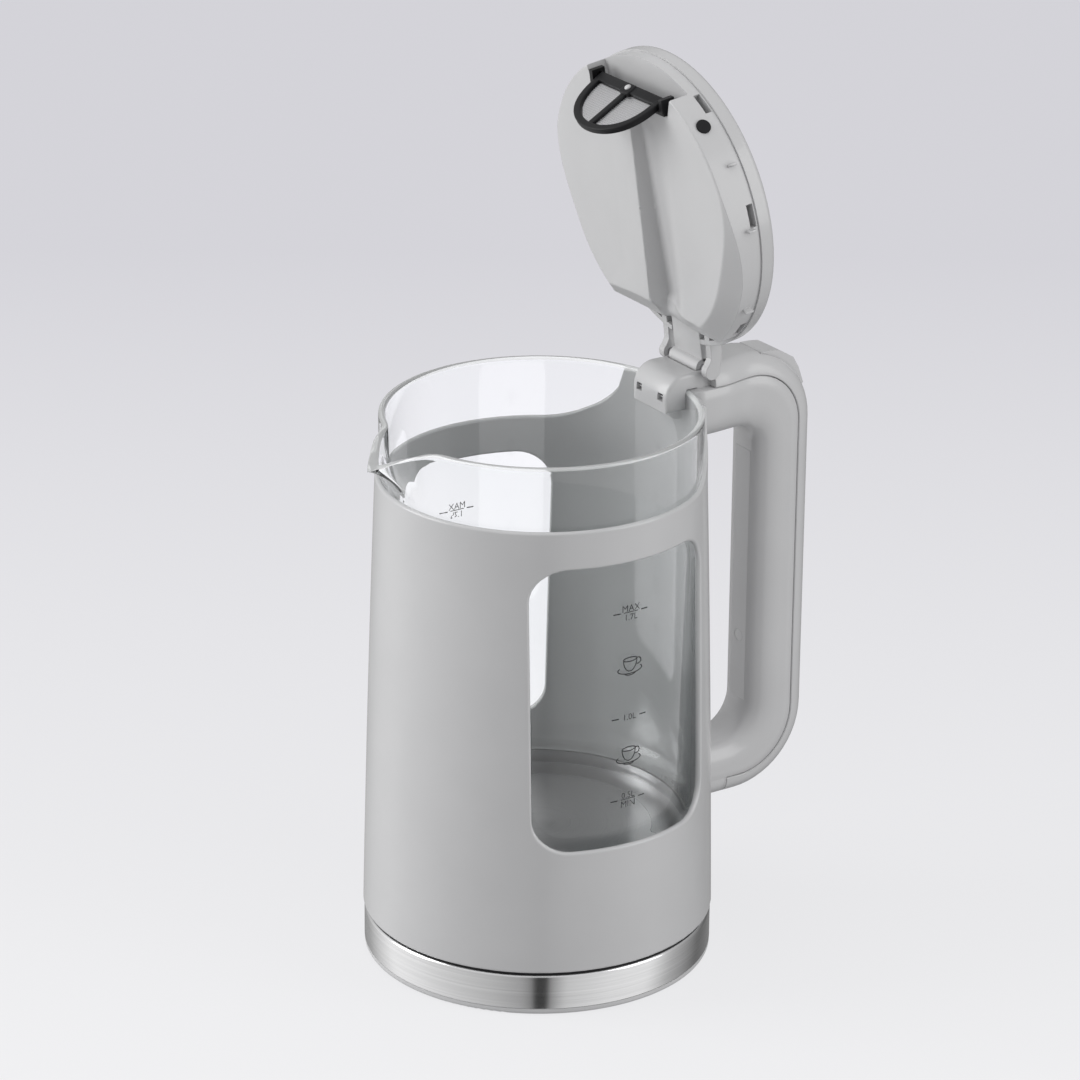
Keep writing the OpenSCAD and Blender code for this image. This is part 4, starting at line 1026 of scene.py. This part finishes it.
for lift in (0.5, 5.0, 10.0):
    rows.append([liner_bm.verts.new((x, y, max(PLUG_Z + lift * MM, z + lift * 0.4 * MM)))
                 for (x, y), z in zip(wall_line, face_edge)])
rows.append([liner_bm.verts.new((x, y, LIP_Z)) for x, y in wall_line])
skin(liner_bm, rows, closed=True)
liner_bm.faces.new(rows[-1])
liner = finish_piece("lid_liner_moulding", liner_bm, "lid", "lid_liner")

# Pocket, snaps, ribs and tongue in millimetres, with the lid shut.
POCKET_PLAN = [(-50, -28), (-76, -37.5), (-76, 37.5), (-50, 28)]
POCKET_FLOOR, POCKET_ROOF = 230, 252.9
SNAP_ANGLES, SNAP = (146, 100, 45, -45, -100, -146), ((57, -5, 254.6), (75, 5, 257.6))
RIB_ANGLES, RIB = (120, 95, 60, -60, -95, -120), ((65, -0.5, 252.0), (68.4, 0.5, 256.0))
TONGUE_ROOT = ((46.5, -10.4, 257.5), (53.5, 10.4, 262.0))
TONGUE = ((51.5, -10.4, 258.5), (74.8, 10.4, 262.0))
BARREL_R, BARREL_HALF = 3.7 * MM, 10.4 * MM


def add_box(bm, low, high, round_by, turn=None):
    """Joins a softly edged box to a bmesh."""
    extra = box_bm(low, high, turn)
    bmesh.ops.bevel(extra, geom=extra.edges[:], offset=round_by * MM, segments=2, profile=0.5,
                    affect="EDGES", material=-1)
    join(bm, extra)


pocket = extruded([(x * MM, y * MM, POCKET_FLOOR * MM) for x, y in POCKET_PLAN],
                  (0, 0, (POCKET_ROOF - POCKET_FLOOR) * MM))
snaps = [box_bm(*SNAP, Matrix.Rotation(radians(a), 4, "Z")) for a in SNAP_ANGLES]
cut_away(liner, pocket, *snaps)
trim = bmesh.new()
trim.from_mesh(liner.data)
for a in RIB_ANGLES:
    add_box(trim, *RIB, 0.2, Matrix.Rotation(radians(a), 4, "Z"))
add_box(trim, *TONGUE_ROOT, 0.5)
add_box(trim, *TONGUE, 0.5)
join(trim, bar_bm(BARREL_R, BARREL_HALF, 48))
bmesh.ops.transform(trim, matrix=LID_TURN, verts=trim.verts)
trim.to_mesh(liner.data)
trim.free()
liner.data.set_sharp_from_angle(angle=radians(34))
wear(liner, pale_satin)

# ------------------------------------------------------------------ filter
# A black frame like a bow hangs from the plug's front on two pivots, with fine steel gauze
# pinched in it. A moulded boss with a pale pip marks the middle of its bar.

# The frame is made flat in its own plane, with its bar along X, and then hung on the lid.
BAR_X, BAR_Z, FILTER_LEAN = -54.5 * MM, 245.5 * MM, radians(22)
FLAT_TO_LID = Matrix(((0, 0, 1, 0), (1, 0, 0, 0), (0, 1, 0, 0), (0, 0, 0, 1)))
FILTER_TURN = (LID_TURN @ Matrix.Translation((BAR_X, 0, BAR_Z))
               @ Matrix.Rotation(-FILTER_LEAN, 4, "Y") @ FLAT_TO_LID)
HALF_BAR, BOW_DEPTH, FRAME_THICK = 23.4 * MM, 26 * MM, 3.0 * MM
BOW_WIDE, BOW_HIGH = 3.3 * MM, 3.2 * MM
BAR = ((-23.4, -3.4, -1.6), (23.4, 1.4, 1.6))
MIDDLE_RIB = ((-1.6, -25.4, -1.3), (1.6, -2, 1.3))
BOSS = ((-3.4, -4.6, -2.2), (3.4, 1.2, 1.4))
PIP_R, PIP_FLAT, PIP_PLACE = 1.5 * MM, 0.5, (0, -1.4 * MM, -2.3 * MM)


def bow_line(half, depth):
    """The bow's outline in the filter's own plane."""
    angles = [pi / 2 * (i / 16 - 1) for i in range(33)]
    return [(half * sin(a), -depth * cos(a) ** 0.75 - 1 * MM) for a in angles]


def woven_steel():
    """Fine plain-weave steel gauze with holes between its wires."""
    finish, add, place = new_finish("mesh_steel")
    wires = [add("ShaderNodeTexWave", {"Vector": place, "Scale": 330.0}, wave_type="BANDS",
                 bands_direction=axis).outputs["Fac"] for axis in ("X", "Y")]
    both = add("ShaderNodeMath", {0: wires[0], 1: wires[1]}, operation="MAXIMUM").outputs["Value"]
    covered = add("ShaderNodeMapRange", {"Value": both, "From Min": 0.45, "From Max": 0.6})
    bump = add("ShaderNodeBump", {"Height": both, "Strength": 0.4, "Distance": 0.0002})
    tint = ramp(add, both, [(0.5, (0.45, 0.45, 0.46)), (1.0, (0.8, 0.8, 0.81))])
    body = add("ShaderNodeBsdfPrincipled",
               {"Base Color": tint, "Metallic": 1.0, "Roughness": 0.3,
                "Alpha": covered.outputs["Result"], "Normal": bump.outputs["Normal"]})
    add("ShaderNodeOutputMaterial", {"Surface": body.outputs["BSDF"]})
    return finish


wear(cad["filter_holder"], black_plastic)
wear(cad["filter_mesh"], woven_steel())

frame_bm = bmesh.new()
outer = bow_line(HALF_BAR, BOW_DEPTH)
inner = bow_line(HALF_BAR - BOW_WIDE, BOW_DEPTH - BOW_HIGH)
back_out, back_in, front_out, front_in = (
    [frame_bm.verts.new((x, y, z)) for x, y in line]
    for z in (-FRAME_THICK / 2, FRAME_THICK / 2) for line in (outer, inner))
skin(frame_bm, [back_out, back_in, front_in, front_out, back_out])
for end in (0, -1):
    frame_bm.faces.new([row[end] for row in (back_out, back_in, front_in, front_out)])
bmesh.ops.recalc_face_normals(frame_bm, faces=frame_bm.faces)
corners = [e for e in frame_bm.edges
           if len(e.link_faces) == 2 and e.calc_face_angle(0) > radians(40)]
bmesh.ops.bevel(frame_bm, geom=corners, offset=0.6 * MM, segments=3, profile=0.5,
                affect="EDGES", material=-1)
add_box(frame_bm, *BAR, 0.5)
add_box(frame_bm, *MIDDLE_RIB, 0.5)
add_box(frame_bm, *BOSS, 0.6)
bmesh.ops.transform(frame_bm, matrix=FILTER_TURN, verts=frame_bm.verts)
bow_frame = finish_piece("filter_frame_moulding", frame_bm, "filter", "filter_frame")
bow_frame.data.set_sharp_from_angle(angle=radians(40))
wear(bow_frame, black_plastic)

pip_bm = bmesh.new()
bmesh.ops.create_uvsphere(pip_bm, u_segments=24, v_segments=12, radius=PIP_R)
bmesh.ops.scale(pip_bm, vec=(1, 1, PIP_FLAT), verts=pip_bm.verts)
bmesh.ops.translate(pip_bm, vec=PIP_PLACE, verts=pip_bm.verts)
bmesh.ops.transform(pip_bm, matrix=FILTER_TURN, verts=pip_bm.verts)
pip = finish_piece("filter_pip", pip_bm, "filter")
wear(pip, pale_satin)

# ------------------------------------------------------------------ sizes
# The finished model's box, as plain numbers in metres.

low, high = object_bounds()
